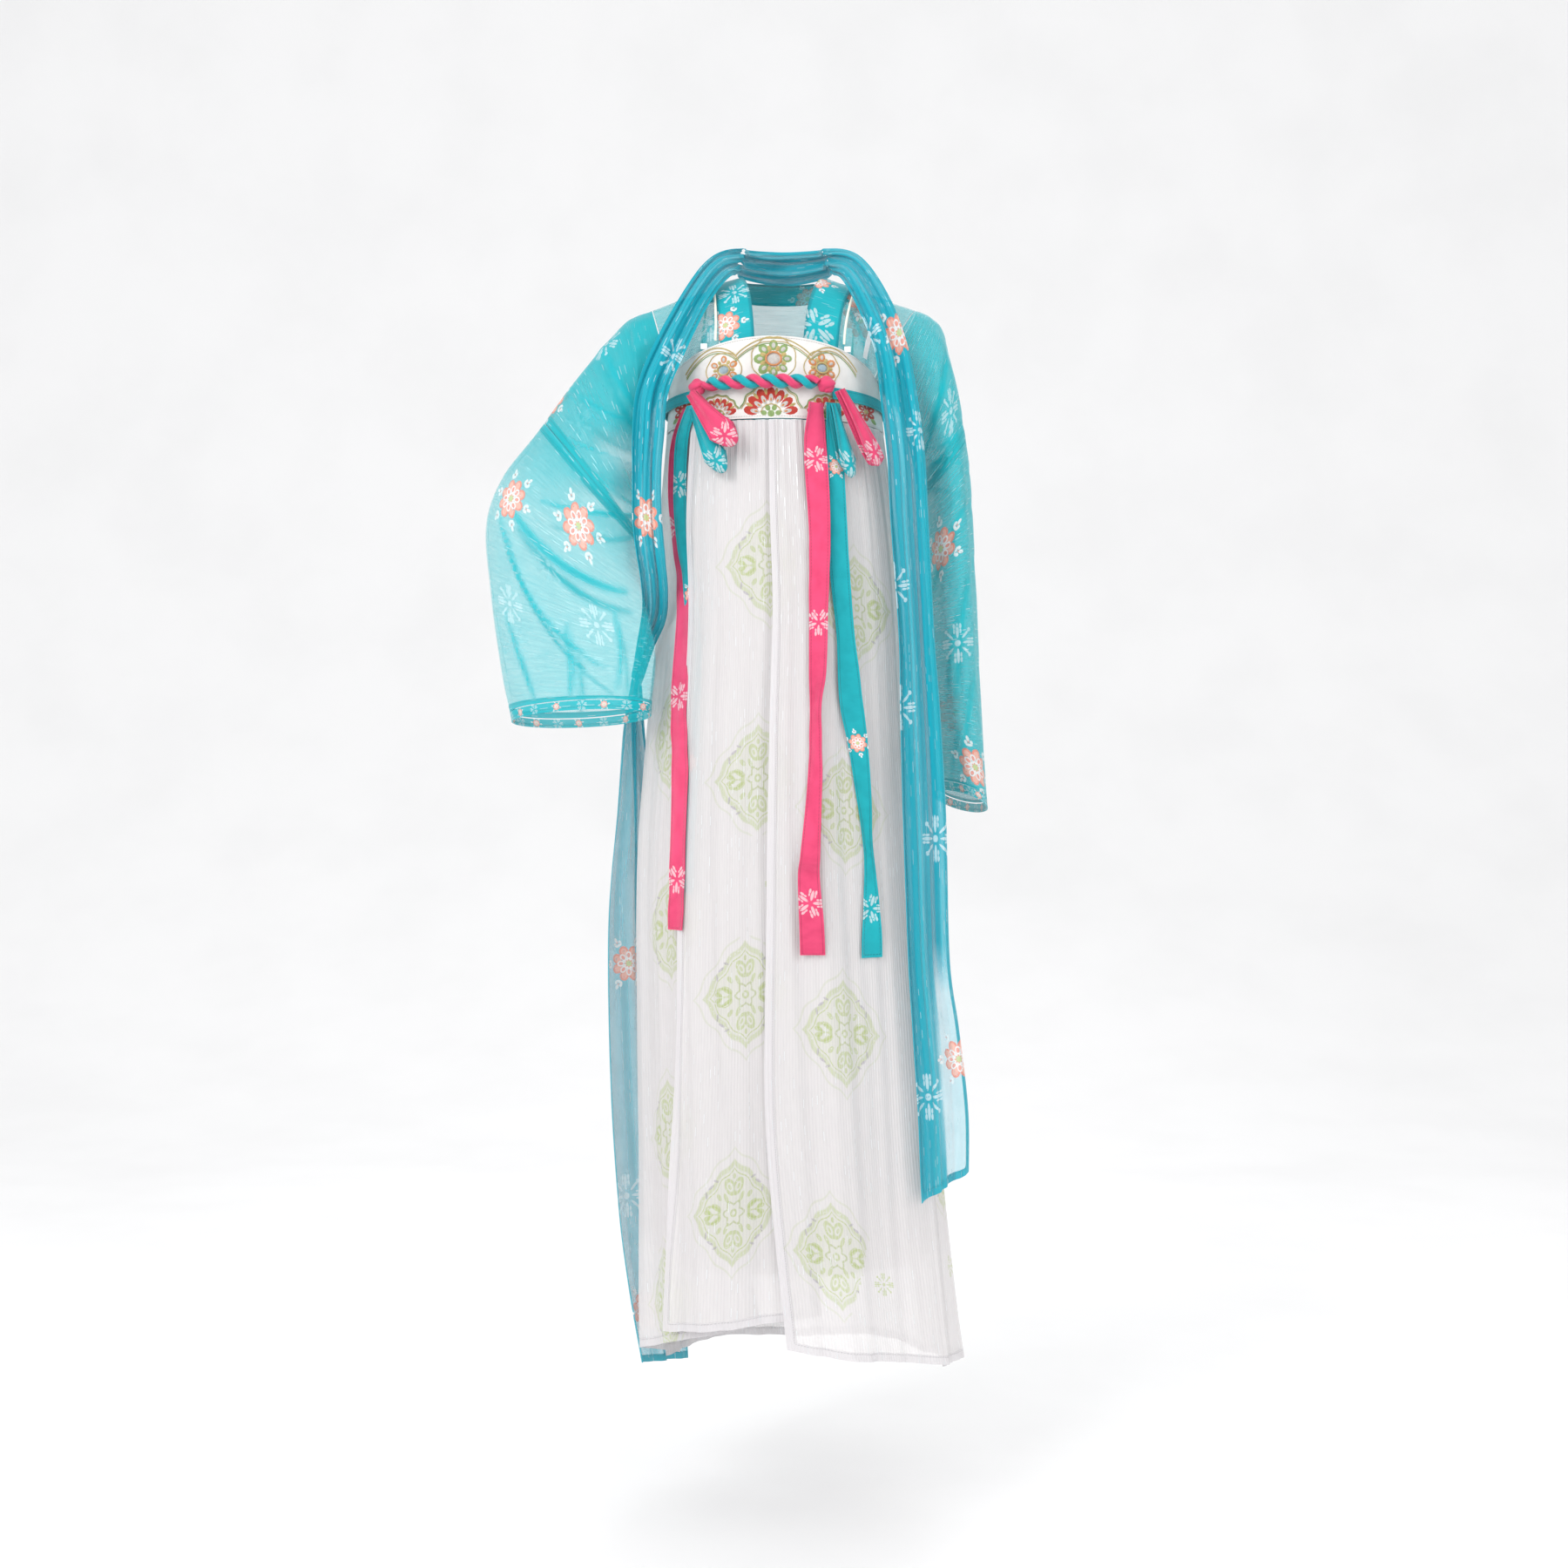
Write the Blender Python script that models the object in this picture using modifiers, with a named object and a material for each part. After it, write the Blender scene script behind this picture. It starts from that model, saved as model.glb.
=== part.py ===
"""A hanfu set in its worn, hollow shape: blouse, high-waisted skirt, ties and long shawl, each a cloth wall.

Metres, +Z up. The origin is the middle of the wearer's shoulder line. -Y is the front, +X the wearer's left.
A drop is a distance below the origin. An angle round the body is 0 at the front and 90 at the wearer's left.
"""

import bisect
import math
from collections import namedtuple

import bmesh
import bpy
from mathutils import Vector

# Walls and gaps
SHEER_WALL = 0.0012
LINED_WALL = 0.0018
TIE_WALL = 0.0014
SEAM_GAP = 0.0003

# Blouse
NECK_HALF = 0.055
NECK_RISE = 0.022
NECK_BACK = 0.058
NECK_BACK_RISE = 0.030
SHOULDER_HALF = 0.165
SHOULDER_DROP = 0.015
UNDERARM_DROP = 0.105
ARMHOLE_DEPTH = 0.062
BLOUSE_LENGTH = 0.42
FRONT_EDGE = {-1: -0.035, 1: 0.022}  # where each front edge hangs, by side
FRONT_EDGE_DROP = 0.05
COLLAR_WIDTH = 0.043
COLLAR_LIFT = 0.0040
NECK_SHARE = 0.33  # the share of the back's top edge that lies round the neck
SHOULDER_SEAM = 0.0008  # how far each half stands back from the shoulder seam
CUFF_DEPTH = 0.011

# Skirt
BAND_TOP_FRONT = 0.070
BAND_TOP_SIDE = 0.120
BAND_BOTTOM = 0.170
LINING_HEM = 1.195
LINING_CLEARANCE = 0.016
LINING_FOLD = 0.6  # the lining's folds as a share of the skirt's
FOLD_START = 0.16

# Ties and straps
TIE_WIDTH = 0.030
TIE_HEIGHT = 0.014
TIE_LIFT = 0.0045
TIE_DROP = 0.137
ROLL_DROP = 0.127
ROLL_LIFT = 0.0118
STRAND_RADIUS = 0.0036
STRAND_SPREAD = 0.0050
STRAND_TURNS = 3.0
LEFT_KNOT_ANGLE = 26.0
RIGHT_KNOT_ANGLE = -40.0
KNOT_RADII = (0.0105, 0.0075, 0.0090)
LOOP_HALF_DEPTH = 0.0042
CORD_RADIUS = 0.0012
CORD_LIFT = 0.0075
CLEAR_STRAP_WIDTH = 0.008
CLIP_SIZE = (0.011, 0.003, 0.009)

# Where a horizontal section meets its four sides.
Ring = namedtuple("Ring", "drop right left front back")
# A sleeve's flattened section, from its outer edge to its inner edge.
Sleeve = namedtuple("Sleeve", "top_x top_y top_drop low_x low_y low_drop half_depth")
# A skirt panel: its two edges' angles at five even heights, and how far each edge stands off the ring.
Panel = namedtuple("Panel", "name start end start_lift end_lift start_drop end_drop columns")
Fold = namedtuple("Fold", "angle spread depth")
# A shawl section: its middle, the direction across it, its width and the depth of its folds.
Shawl = namedtuple("Shawl", "x y drop across_x across_y across_drop width wave")
Tail = namedtuple("Tail", "angle drop width turn lift")
Loop = namedtuple("Loop", "name angle drop tip_angle tip_drop width lift")

BLOUSE_RINGS = (
    Ring(0.105, -0.139, 0.110, -0.100, 0.098),
    Ring(0.200, -0.129, 0.105, -0.100, 0.096),
    Ring(0.300, -0.127, 0.109, -0.101, 0.094),
    Ring(0.420, -0.131, 0.119, -0.106, 0.096),
)
SKIRT_RINGS = (
    Ring(0.050, -0.144, 0.116, -0.115, 0.112),
    Ring(0.125, -0.145, 0.120, -0.117, 0.114),
    Ring(0.170, -0.147, 0.125, -0.120, 0.116),
    Ring(0.280, -0.156, 0.138, -0.129, 0.120),
    Ring(0.400, -0.158, 0.147, -0.136, 0.126),
    Ring(0.550, -0.171, 0.155, -0.144, 0.132),
    Ring(0.720, -0.182, 0.166, -0.151, 0.139),
    Ring(0.940, -0.180, 0.182, -0.158, 0.148),
    Ring(1.100, -0.177, 0.193, -0.162, 0.154),
    Ring(1.270, -0.176, 0.210, -0.166, 0.160),
    Ring(1.360, -0.173, 0.222, -0.168, 0.162),
)
SKIRT_FOLDS = (
    Fold(-150, 11, 0.014),
    Fold(-118, 10, -0.012),
    Fold(-92, 9, 0.010),
    Fold(-70, 8, -0.009),
    Fold(-30, 9, 0.008),
    Fold(-12, 7, -0.009),
    Fold(17, 9, 0.008),
    Fold(37, 8, -0.009),
    Fold(57, 8, 0.010),
    Fold(76, 7, -0.010),
    Fold(96, 8, 0.012),
    Fold(124, 11, -0.012),
    Fold(152, 11, 0.014),
    Fold(180, 9, -0.013),
)
SKIRT_PANELS = (
    Panel("skirt_front_left", (-3, -3, -4, -8, -4), (70, 71, 72, 73, 74), 0.005, 0.005, 1.276, 1.324, 15),
    Panel("skirt_front_right", (-46, -42, -40, -45, -54), (8, 8, 8, 8, 9), 0.010, -0.003, 1.272, 1.238, 11),
    Panel("skirt_side_left", (58, 59, 60, 61, 62), (122, 122, 122, 122, 122), -0.003, 0.0, 1.322, 1.350, 12),
    Panel("skirt_side_right", (-122, -122, -122, -122, -122), (-34, -30, -28, -26, -14), 0.0, -0.006, 1.350, 1.250, 18),
    Panel("skirt_back", (114, 114, 114, 114, 114), (246, 246, 246, 246, 246), 0.005, 0.005, 1.350, 1.350, 21),
)
# Wearer's right arm, hand on hip: the sleeve fans round its inner edge and falls from the elbow.
RIGHT_SLEEVE = (
    Sleeve(-0.186, 0.005, 0.022, -0.166, -0.004, 0.134, 0.064),
    Sleeve(-0.208, 0.010, 0.036, -0.175, -0.008, 0.190, 0.064),
    Sleeve(-0.258, 0.012, 0.098, -0.180, -0.045, 0.262, 0.056),
    Sleeve(-0.312, 0.012, 0.172, -0.180, -0.078, 0.318, 0.050),
    Sleeve(-0.354, 0.008, 0.226, -0.174, -0.096, 0.366, 0.046),
    Sleeve(-0.373, 0.000, 0.285, -0.166, -0.106, 0.410, 0.046),
    Sleeve(-0.367, -0.006, 0.365, -0.160, -0.112, 0.445, 0.047),
    Sleeve(-0.353, -0.010, 0.450, -0.160, -0.113, 0.478, 0.048),
    Sleeve(-0.338, -0.014, 0.524, -0.164, -0.112, 0.512, 0.050),
)
# Wearer's left arm, hanging: the sleeve is flat from side to side and deep from front to back.
LEFT_SLEEVE = (
    Sleeve(0.186, 0.005, 0.024, 0.142, -0.002, 0.134, 0.065),
    Sleeve(0.200, 0.008, 0.045, 0.158, -0.004, 0.172, 0.066),
    Sleeve(0.217, 0.006, 0.125, 0.170, -0.004, 0.215, 0.070),
    Sleeve(0.229, 0.004, 0.215, 0.176, -0.004, 0.270, 0.072),
    Sleeve(0.237, 0.002, 0.340, 0.180, -0.004, 0.365, 0.072),
    Sleeve(0.243, 0.000, 0.480, 0.184, -0.006, 0.480, 0.072),
    Sleeve(0.248, 0.000, 0.580, 0.190, -0.008, 0.565, 0.073),
    Sleeve(0.247, 0.000, 0.634, 0.196, -0.010, 0.606, 0.074),
)
SLEEVE_SEAM = {-1: 0.42, 1: 0.45}  # the share of each sleeve above the seam where its lower part is sewn on
SECTION_REACH = 0.12  # how far along a sleeve its way is read on either side
SHOULDER_SPLIT = 0.20  # the share of the right sleeve that is its shoulder length

SHAWL_NECK = (
    Shawl(-0.054, 0.004, -0.052, -0.25, 0.20, 0.95, 0.030, 0.0030),
    Shawl(-0.048, 0.048, -0.058, -0.30, 0.45, 0.84, 0.038, 0.0036),
    Shawl(0.000, 0.078, -0.060, 0.00, 0.50, 0.87, 0.044, 0.0040),
    Shawl(0.048, 0.048, -0.058, 0.30, 0.45, 0.84, 0.038, 0.0036),
    Shawl(0.054, 0.004, -0.052, 0.25, 0.20, 0.95, 0.030, 0.0030),
)
SHAWL_RIGHT = (
    Shawl(-0.0545, 0.002, -0.0515, -0.25, 0.20, 0.95, 0.030, 0.0030),
    Shawl(-0.079, -0.052, -0.029, 0.66, -0.20, 0.72, 0.036, 0.0036),
    Shawl(-0.105, -0.084, 0.013, 0.70, -0.25, 0.66, 0.038, 0.0040),
    Shawl(-0.140, -0.097, 0.083, 0.80, -0.35, 0.48, 0.044, 0.0046),
    Shawl(-0.160, -0.098, 0.134, 0.92, -0.30, 0.25, 0.042, 0.0050),
    Shawl(-0.164, -0.108, 0.188, 0.97, -0.22, 0.05, 0.040, 0.0050),
    Shawl(-0.165, -0.118, 0.235, 0.98, -0.20, 0.00, 0.036, 0.0046),
    Shawl(-0.163, -0.128, 0.290, 0.97, -0.15, 0.10, 0.030, 0.0040),
    Shawl(-0.152, -0.124, 0.335, 0.80, 0.10, 0.55, 0.028, 0.0034),
    Shawl(-0.143, -0.100, 0.368, 0.45, 0.40, 0.80, 0.026, 0.0030),
    Shawl(-0.152, -0.066, 0.400, 0.10, 0.66, 0.74, 0.026, 0.0030),
    Shawl(-0.172, -0.034, 0.435, 0.05, 0.80, 0.60, 0.028, 0.0030),
    Shawl(-0.186, -0.006, 0.480, 0.15, 0.95, 0.20, 0.034, 0.0034),
)
SHAWL_RIGHT_FALL = (
    Shawl(-0.186, -0.005, 0.4815, 0.15, 0.95, 0.20, 0.034, 0.0034),
    Shawl(-0.191, 0.022, 0.545, 0.35, 0.93, 0.00, 0.052, 0.0050),
    Shawl(-0.1895, 0.039, 0.662, 0.48, 0.87, 0.00, 0.090, 0.0060),
    Shawl(-0.1918, 0.062, 0.792, 0.50, 0.86, 0.00, 0.120, 0.0070),
    Shawl(-0.1846, 0.075, 0.987, 0.50, 0.86, 0.00, 0.140, 0.0075),
    Shawl(-0.1757, 0.080, 1.147, 0.49, 0.87, 0.00, 0.140, 0.0075),
    Shawl(-0.1670, 0.083, 1.248, 0.45, 0.89, 0.10, 0.140, 0.0075),
    Shawl(-0.1550, 0.085, 1.362, 0.36, 0.93, 0.22, 0.140, 0.0075),
)
SHAWL_LEFT = (
    Shawl(0.0545, 0.002, -0.0515, 0.25, 0.20, 0.95, 0.030, 0.0030),
    Shawl(0.083, -0.053, -0.028, -0.66, -0.20, 0.72, 0.038, 0.0036),
    Shawl(0.110, -0.086, 0.025, -0.76, -0.25, 0.60, 0.044, 0.0042),
    Shawl(0.130, -0.096, 0.081, -0.84, -0.30, 0.42, 0.044, 0.0048),
    Shawl(0.140, -0.096, 0.145, -0.96, -0.20, 0.10, 0.046, 0.0052),
    Shawl(0.148, -0.100, 0.214, -0.99, -0.10, 0.00, 0.046, 0.0056),
    Shawl(0.152, -0.104, 0.294, -1.00, -0.05, 0.00, 0.046, 0.0060),
    Shawl(0.160, -0.110, 0.432, -1.00, -0.05, 0.00, 0.043, 0.0064),
    Shawl(0.164, -0.114, 0.523, -1.00, -0.05, 0.00, 0.048, 0.0064),
    Shawl(0.169, -0.118, 0.652, -1.00, -0.05, 0.00, 0.052, 0.0066),
    Shawl(0.174, -0.120, 0.819, -1.00, -0.05, 0.00, 0.050, 0.0070),
    Shawl(0.182, -0.120, 0.903, -1.00, -0.08, 0.02, 0.056, 0.0070),
    Shawl(0.191, -0.120, 1.003, -1.00, -0.10, 0.25, 0.062, 0.0066),
    Shawl(0.194, -0.120, 1.095, -0.90, -0.10, 0.60, 0.068, 0.0060),
)
LEFT_PINK_TAIL = (
    Tail(20, 0.152, 0.022, -20, 0.0085),
    Tail(18.4, 0.220, 0.028, 10, 0.0085),
    Tail(17.9, 0.305, 0.026, 30, 0.0085),
    Tail(16.1, 0.392, 0.024, 35, 0.0085),
    Tail(15.4, 0.475, 0.022, 40, 0.0085),
    Tail(14.7, 0.517, 0.016, 45, 0.0085),
    Tail(14.2, 0.598, 0.018, 40, 0.0085),
    Tail(12.1, 0.689, 0.024, 30, 0.0085),
    Tail(11.3, 0.719, 0.026, 25, 0.0085),
    Tail(11.7, 0.771, 0.029, 15, 0.0085),
    Tail(11.7, 0.812, 0.030, 5, 0.0085),
)
LEFT_TEAL_TAIL = (
    Tail(30, 0.150, 0.020, 0, 0.0085),
    Tail(28.2, 0.238, 0.022, 10, 0.0085),
    Tail(26.4, 0.348, 0.024, 25, 0.0085),
    Tail(28.0, 0.433, 0.022, 35, 0.0085),
    Tail(30.6, 0.506, 0.029, 15, 0.0085),
    Tail(33.2, 0.564, 0.024, 35, 0.0085),
    Tail(35.7, 0.628, 0.018, 45, 0.0085),
    Tail(37.1, 0.677, 0.012, 50, 0.0085),
    Tail(37.7, 0.716, 0.014, 40, 0.0085),
    Tail(37.1, 0.818, 0.030, 5, 0.0085),
)
RIGHT_PINK_TAIL = (
    Tail(-48, 0.152, 0.016, 0, 0.0090),
    Tail(-54, 0.190, 0.018, -35, 0.0040),
    Tail(-55, 0.240, 0.020, -30, 0.0020),
    Tail(-53, 0.300, 0.024, -15, -0.0004),
    Tail(-49, 0.370, 0.026, 0, -0.0012),
    Tail(-45.5, 0.472, 0.028, 0, -0.0012),
    Tail(-44.5, 0.525, 0.028, 0, -0.0012),
    Tail(-38.5, 0.600, 0.028, 0, -0.0014),
    Tail(-37.2, 0.716, 0.028, 0, -0.0014),
    Tail(-38.2, 0.785, 0.028, 0, -0.0014),
)
RIGHT_TEAL_TAIL = (
    Tail(-43, 0.150, 0.016, 0, 0.0130),
    Tail(-49.5, 0.190, 0.016, -40, 0.0065),
    Tail(-50, 0.240, 0.016, -35, 0.0050),
    Tail(-48.5, 0.300, 0.018, -20, 0.0040),
    Tail(-44, 0.370, 0.024, 0, 0.0030),
    Tail(-40, 0.472, 0.026, 0, 0.0026),
    Tail(-36, 0.600, 0.026, 0, 0.0020),
    Tail(-35, 0.740, 0.026, 0, 0.0020),
)
LOOPS = (
    Loop("bow_right_pink", -36.0, 0.150, -13.0, 0.203, 0.024, 0.0300),
    Loop("bow_right_teal", -38.0, 0.160, -20.0, 0.230, 0.018, 0.0185),
    Loop("bow_left_pink", 30.0, 0.146, 46.0, 0.222, 0.023, 0.0300),
    Loop("bow_left_teal", 28.0, 0.160, 35.0, 0.238, 0.018, 0.0185),
)

# Linear base colours, roughness and metallic of each kind of cloth and trim.
MATERIALS = {
    "teal_chiffon": ((0.13, 0.52, 0.56), 0.6, 0.0),
    "teal_band": ((0.005, 0.36, 0.42), 0.6, 0.0),
    "shawl_chiffon": ((0.07, 0.42, 0.50), 0.6, 0.0),
    "white_voile": ((0.78, 0.76, 0.74), 0.65, 0.0),
    "white_lining": ((0.72, 0.70, 0.69), 0.7, 0.0),
    "embroidered_band": ((0.86, 0.84, 0.80), 0.55, 0.0),
    "pink_tie": ((0.80, 0.07, 0.18), 0.6, 0.0),
    "teal_tie": ((0.01, 0.40, 0.45), 0.6, 0.0),
    "cream_cord": ((0.80, 0.68, 0.45), 0.5, 0.0),
    "clear_strap": ((0.85, 0.87, 0.88), 0.2, 0.0),
    "white_clip": ((0.82, 0.82, 0.82), 0.35, 0.0),
}


def smooth_row(rows, keys, at):
    """Values on a smooth curve through the rows, at a key between the given keys."""
    at = min(max(at, keys[0]), keys[-1])
    low = min(max(bisect.bisect_right(keys, at) - 1, 0), len(keys) - 2)
    before = max(low - 1, 0)
    after = min(low + 2, len(keys) - 1)
    step = keys[low + 1] - keys[low]
    s = (at - keys[low]) / step
    values = []
    for a, b, c, d in zip(rows[before], rows[low], rows[low + 1], rows[after]):
        leave = (c - a) / (keys[low + 1] - keys[before]) * step
        arrive = (d - b) / (keys[after] - keys[low]) * step
        value = b + s * leave + s * s * (3 * (c - b) - 2 * leave - arrive) + s**3 * (2 * (b - c) + leave + arrive)
        values.append(value)
    return values


def along(rows, share):
    """Values a share of the way through a table of evenly weighted rows."""
    return smooth_row(rows, list(range(len(rows))), share * (len(rows) - 1))


def ring_at(rings, drop):
    """A body ring at one drop."""
    return Ring(*smooth_row(rings, [ring.drop for ring in rings], drop))


def on_ring(rings, angle, drop, lift=0.0):
    """A point on a body ring, moved out by a lift."""
    ring = ring_at(rings, drop)
    turn = math.radians(angle)
    x = (ring.left + ring.right) / 2 + ((ring.left - ring.right) / 2 + lift) * math.sin(turn)
    y = (ring.front + ring.back) / 2 - ((ring.back - ring.front) / 2 + lift) * math.cos(turn)
    return Vector((x, y, -drop))


def fold_depth(angle, drop):
    """How far the skirt's folds stand out at one angle and drop."""
    growth = max(drop - FOLD_START, 0.0) / (SKIRT_RINGS[-1].drop - FOLD_START)
    depth = 0.0
    for fold in SKIRT_FOLDS:
        away = (angle - fold.angle + 180) % 360 - 180
        depth += fold.depth * math.exp(-((away / fold.spread) ** 2))
    return depth * growth**0.8


def on_skirt(angle, drop, lift=0.0):
    """A point on the folded skirt, moved out by a lift."""
    return on_ring(SKIRT_RINGS, angle, drop, fold_depth(angle, drop) + lift)


def armhole(side, turn):
    """A point on an armhole: 0 at the shoulder, 90 at the front, 180 under the arm."""
    ring = BLOUSE_RINGS[0]
    top = Vector((side * SHOULDER_HALF, 0.0, -SHOULDER_DROP))
    low = Vector((ring.left if side > 0 else ring.right, (ring.front + ring.back) / 2, -UNDERARM_DROP))
    swing = math.radians(turn)
    point = (top + low) / 2 + (top - low) / 2 * math.cos(swing)
    return point + Vector((0.0, -ARMHOLE_DEPTH * math.sin(swing), 0.0))


def quarter(start, end, share):
    """A point on a quarter oval that leaves start level and reaches end plumb."""
    swing = share * math.pi / 2
    out = math.sin(swing)
    point = start.lerp(end, out)
    point.z = start.z + (end.z - start.z) * (1 - math.cos(swing))
    return point


def patch(top, low, left, right, u, v):
    """A point on the smooth patch between four edges that share their corners."""
    across = left(v).lerp(right(v), u)
    down = top(u).lerp(low(u), v)
    corners = top(0).lerp(top(1), u).lerp(low(0).lerp(low(1), u), v)
    return across + down - corners


def front_edge(side, share):
    """A blouse front edge from the neck to the underarm level."""
    top = Vector((side * NECK_HALF, -SHOULDER_SEAM, NECK_RISE))
    low = front_ring(side, 0.0, UNDERARM_DROP)
    return quarter(top, low, share)


def front_ring(side, u, drop):
    """A point round a blouse front below the arm, from the front edge to the side seam."""
    ring = ring_at(BLOUSE_RINGS, drop)
    middle = (ring.left + ring.right) / 2
    half = (ring.left - ring.right) / 2
    start = math.degrees(math.asin((FRONT_EDGE[side] - middle) / half))
    end = side * (90 - math.degrees(SEAM_GAP / half))
    return on_ring(BLOUSE_RINGS, start + (end - start) * u, drop)


def on_front(side, u, v):
    """A point on a blouse front above the underarm level."""
    neck = Vector((side * NECK_HALF, -SHOULDER_SEAM, NECK_RISE))
    shoulder = armhole(side, 1)
    return patch(
        lambda share: neck.lerp(shoulder, share),
        lambda share: front_ring(side, share, UNDERARM_DROP),
        lambda share: front_edge(side, share),
        lambda share: armhole(side, 1 + 178 * share),
        u,
        v,
    )


def back_top(share):
    """The blouse back's top edge, from the wearer's left shoulder round the neck to the right one."""
    side = 1 if share < 0.5 else -1
    away = abs(share - 0.5) * 2
    neck = Vector((side * NECK_HALF, SHOULDER_SEAM, NECK_RISE))
    if away > NECK_SHARE:
        return neck.lerp(armhole(side, -1), (away - NECK_SHARE) / (1 - NECK_SHARE))
    swing = away / NECK_SHARE * math.pi / 2
    rise = NECK_RISE + (NECK_BACK_RISE - NECK_RISE) * math.cos(swing)
    depth = SHOULDER_SEAM + (NECK_BACK - SHOULDER_SEAM) * math.cos(swing)
    return Vector((side * NECK_HALF * math.sin(swing), depth, rise))


def back_ring(u, drop):
    """A point round the blouse back below the arm."""
    return on_ring(BLOUSE_RINGS, 90.2 + 179.6 * u, drop)


def on_back(u, v):
    """A point on the blouse back above the underarm level, drawn in round the armholes."""
    edge = 0 if u < 0.5 else 1
    side = 1 if u < 0.5 else -1
    point = quarter(back_top(u), back_ring(u, UNDERARM_DROP), v)
    drawn_in = armhole(side, -1 - 178 * v) - quarter(back_top(edge), back_ring(edge, UNDERARM_DROP), v)
    return point + drawn_in * abs(2 * u - 1) ** 3


def frame_at(place, u, v):
    """A surface's point and outward direction, the body's middle being inward."""
    step = 0.002
    point = place(u, v)
    across = place(min(u + step, 1), v) - place(max(u - step, 0), v)
    down = place(u, min(v + step, 1)) - place(u, max(v - step, 0))
    outward = across.cross(down).normalized()
    if outward.dot(point - Vector((-0.01, 0.0, -0.14))) < 0:
        outward.negate()
    return point, outward


def lifted(place, u, v, lift):
    """A point moved straight out of a surface."""
    point, outward = frame_at(place, u, v)
    return point + outward * lift


def fresh_scene():
    """Empty the file and make the two collections."""
    for item in list(bpy.data.objects):
        bpy.data.objects.remove(item, do_unlink=True)
    made = {}
    for name in ("hanfu_set", "cutters"):
        made[name] = bpy.data.collections.new(name)
        bpy.context.scene.collection.children.link(made[name])
    return made["hanfu_set"]


def material(name):
    """One cloth's material, made once."""
    if name in bpy.data.materials:
        return bpy.data.materials[name]
    colour, rough, metal = MATERIALS[name]
    made = bpy.data.materials.new(name)
    made.use_nodes = True
    shader = made.node_tree.nodes["Principled BSDF"]
    shader.inputs["Base Color"].default_value = (*colour, 1.0)
    shader.inputs["Roughness"].default_value = rough
    shader.inputs["Metallic"].default_value = metal
    return made


def add(body, name, data, cloth):
    """Put a mesh or curve into the set under its own name."""
    item = bpy.data.objects.new(name, data)
    item.data.materials.append(material(cloth))
    body.objects.link(item)
    return item


def sheet(body, name, place, columns, rows, cloth, wall=SHEER_WALL, ring=False):
    """A grid laid out by place(u, v) and given a wall; a ring is sewn to itself along its sides."""
    mesh = bmesh.new()
    bmesh.ops.create_grid(mesh, x_segments=columns, y_segments=rows, size=1.0)
    for vert in mesh.verts:
        vert.co = place((vert.co.x + 1) / 2, (1 - vert.co.y) / 2)
    if ring:
        bmesh.ops.remove_doubles(mesh, verts=mesh.verts, dist=0.00001)
    data = bpy.data.meshes.new(name)
    mesh.to_mesh(data)
    mesh.free()
    item = add(body, name, data, cloth)
    wall_modifier = item.modifiers.new("wall", "SOLIDIFY")
    wall_modifier.thickness = wall
    wall_modifier.offset = 0.0
    return item


def cord(body, name, points, radius, cloth, sides=1):
    """A round cord along points, closed at both ends."""
    curve = bpy.data.curves.new(name, "CURVE")
    curve.dimensions = "3D"
    curve.bevel_depth = radius
    curve.bevel_resolution = sides
    curve.use_fill_caps = True
    line = curve.splines.new("POLY")
    line.points.add(len(points) - 1)
    for spot, point in zip(line.points, points):
        spot.co = (*point, 1.0)
    return add(body, name, curve, cloth)


def build_blouse(body):
    """Back, two fronts and the three parts of the collar band."""
    levels = 4

    def back(u, v):
        if v <= 0.5:
            return on_back(u, v * 2)
        return back_ring(u, UNDERARM_DROP + (BLOUSE_LENGTH - UNDERARM_DROP) * (v * 2 - 1))

    sheet(body, "blouse_back", back, 14, 2 * levels, "teal_chiffon")
    for side, word in ((-1, "right"), (1, "left")):

        def front(u, v, side=side):
            if v <= 0.5:
                return on_front(side, u, v * 2)
            return front_ring(side, u, UNDERARM_DROP + (BLOUSE_LENGTH - UNDERARM_DROP) * (v * 2 - 1))

        def collar(u, v, side=side, front=front):
            inner = front(0, v)
            share = 0.0
            for step in range(1, 61):
                share = step / 60
                if (front(share, v) - inner).length > COLLAR_WIDTH:
                    break
            return lifted(front, share * u, max(v, 0.002), COLLAR_LIFT)

        sheet(body, "blouse_front_" + word, front, 6, 2 * levels, "teal_chiffon")
        sheet(body, "collar_" + word, collar, 2, 2 * levels, "teal_band", TIE_WALL)

    def neck(u, v):
        side = (u - 0.5) * 2
        around = 0.5 + side * (NECK_SHARE / 2 - 0.001)
        out = v * (COLLAR_WIDTH / 0.130) / (1 - NECK_SHARE) / 2 * abs(side) ** 3 * math.copysign(1, side)
        down = v * 0.34 * math.sqrt(max(1 - abs(side) ** 3, 0.0))
        return lifted(on_back, around + out, max(down, 0.004), COLLAR_LIFT)

    sheet(body, "collar_neck", neck, 12, 2, "teal_band", TIE_WALL)


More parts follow.
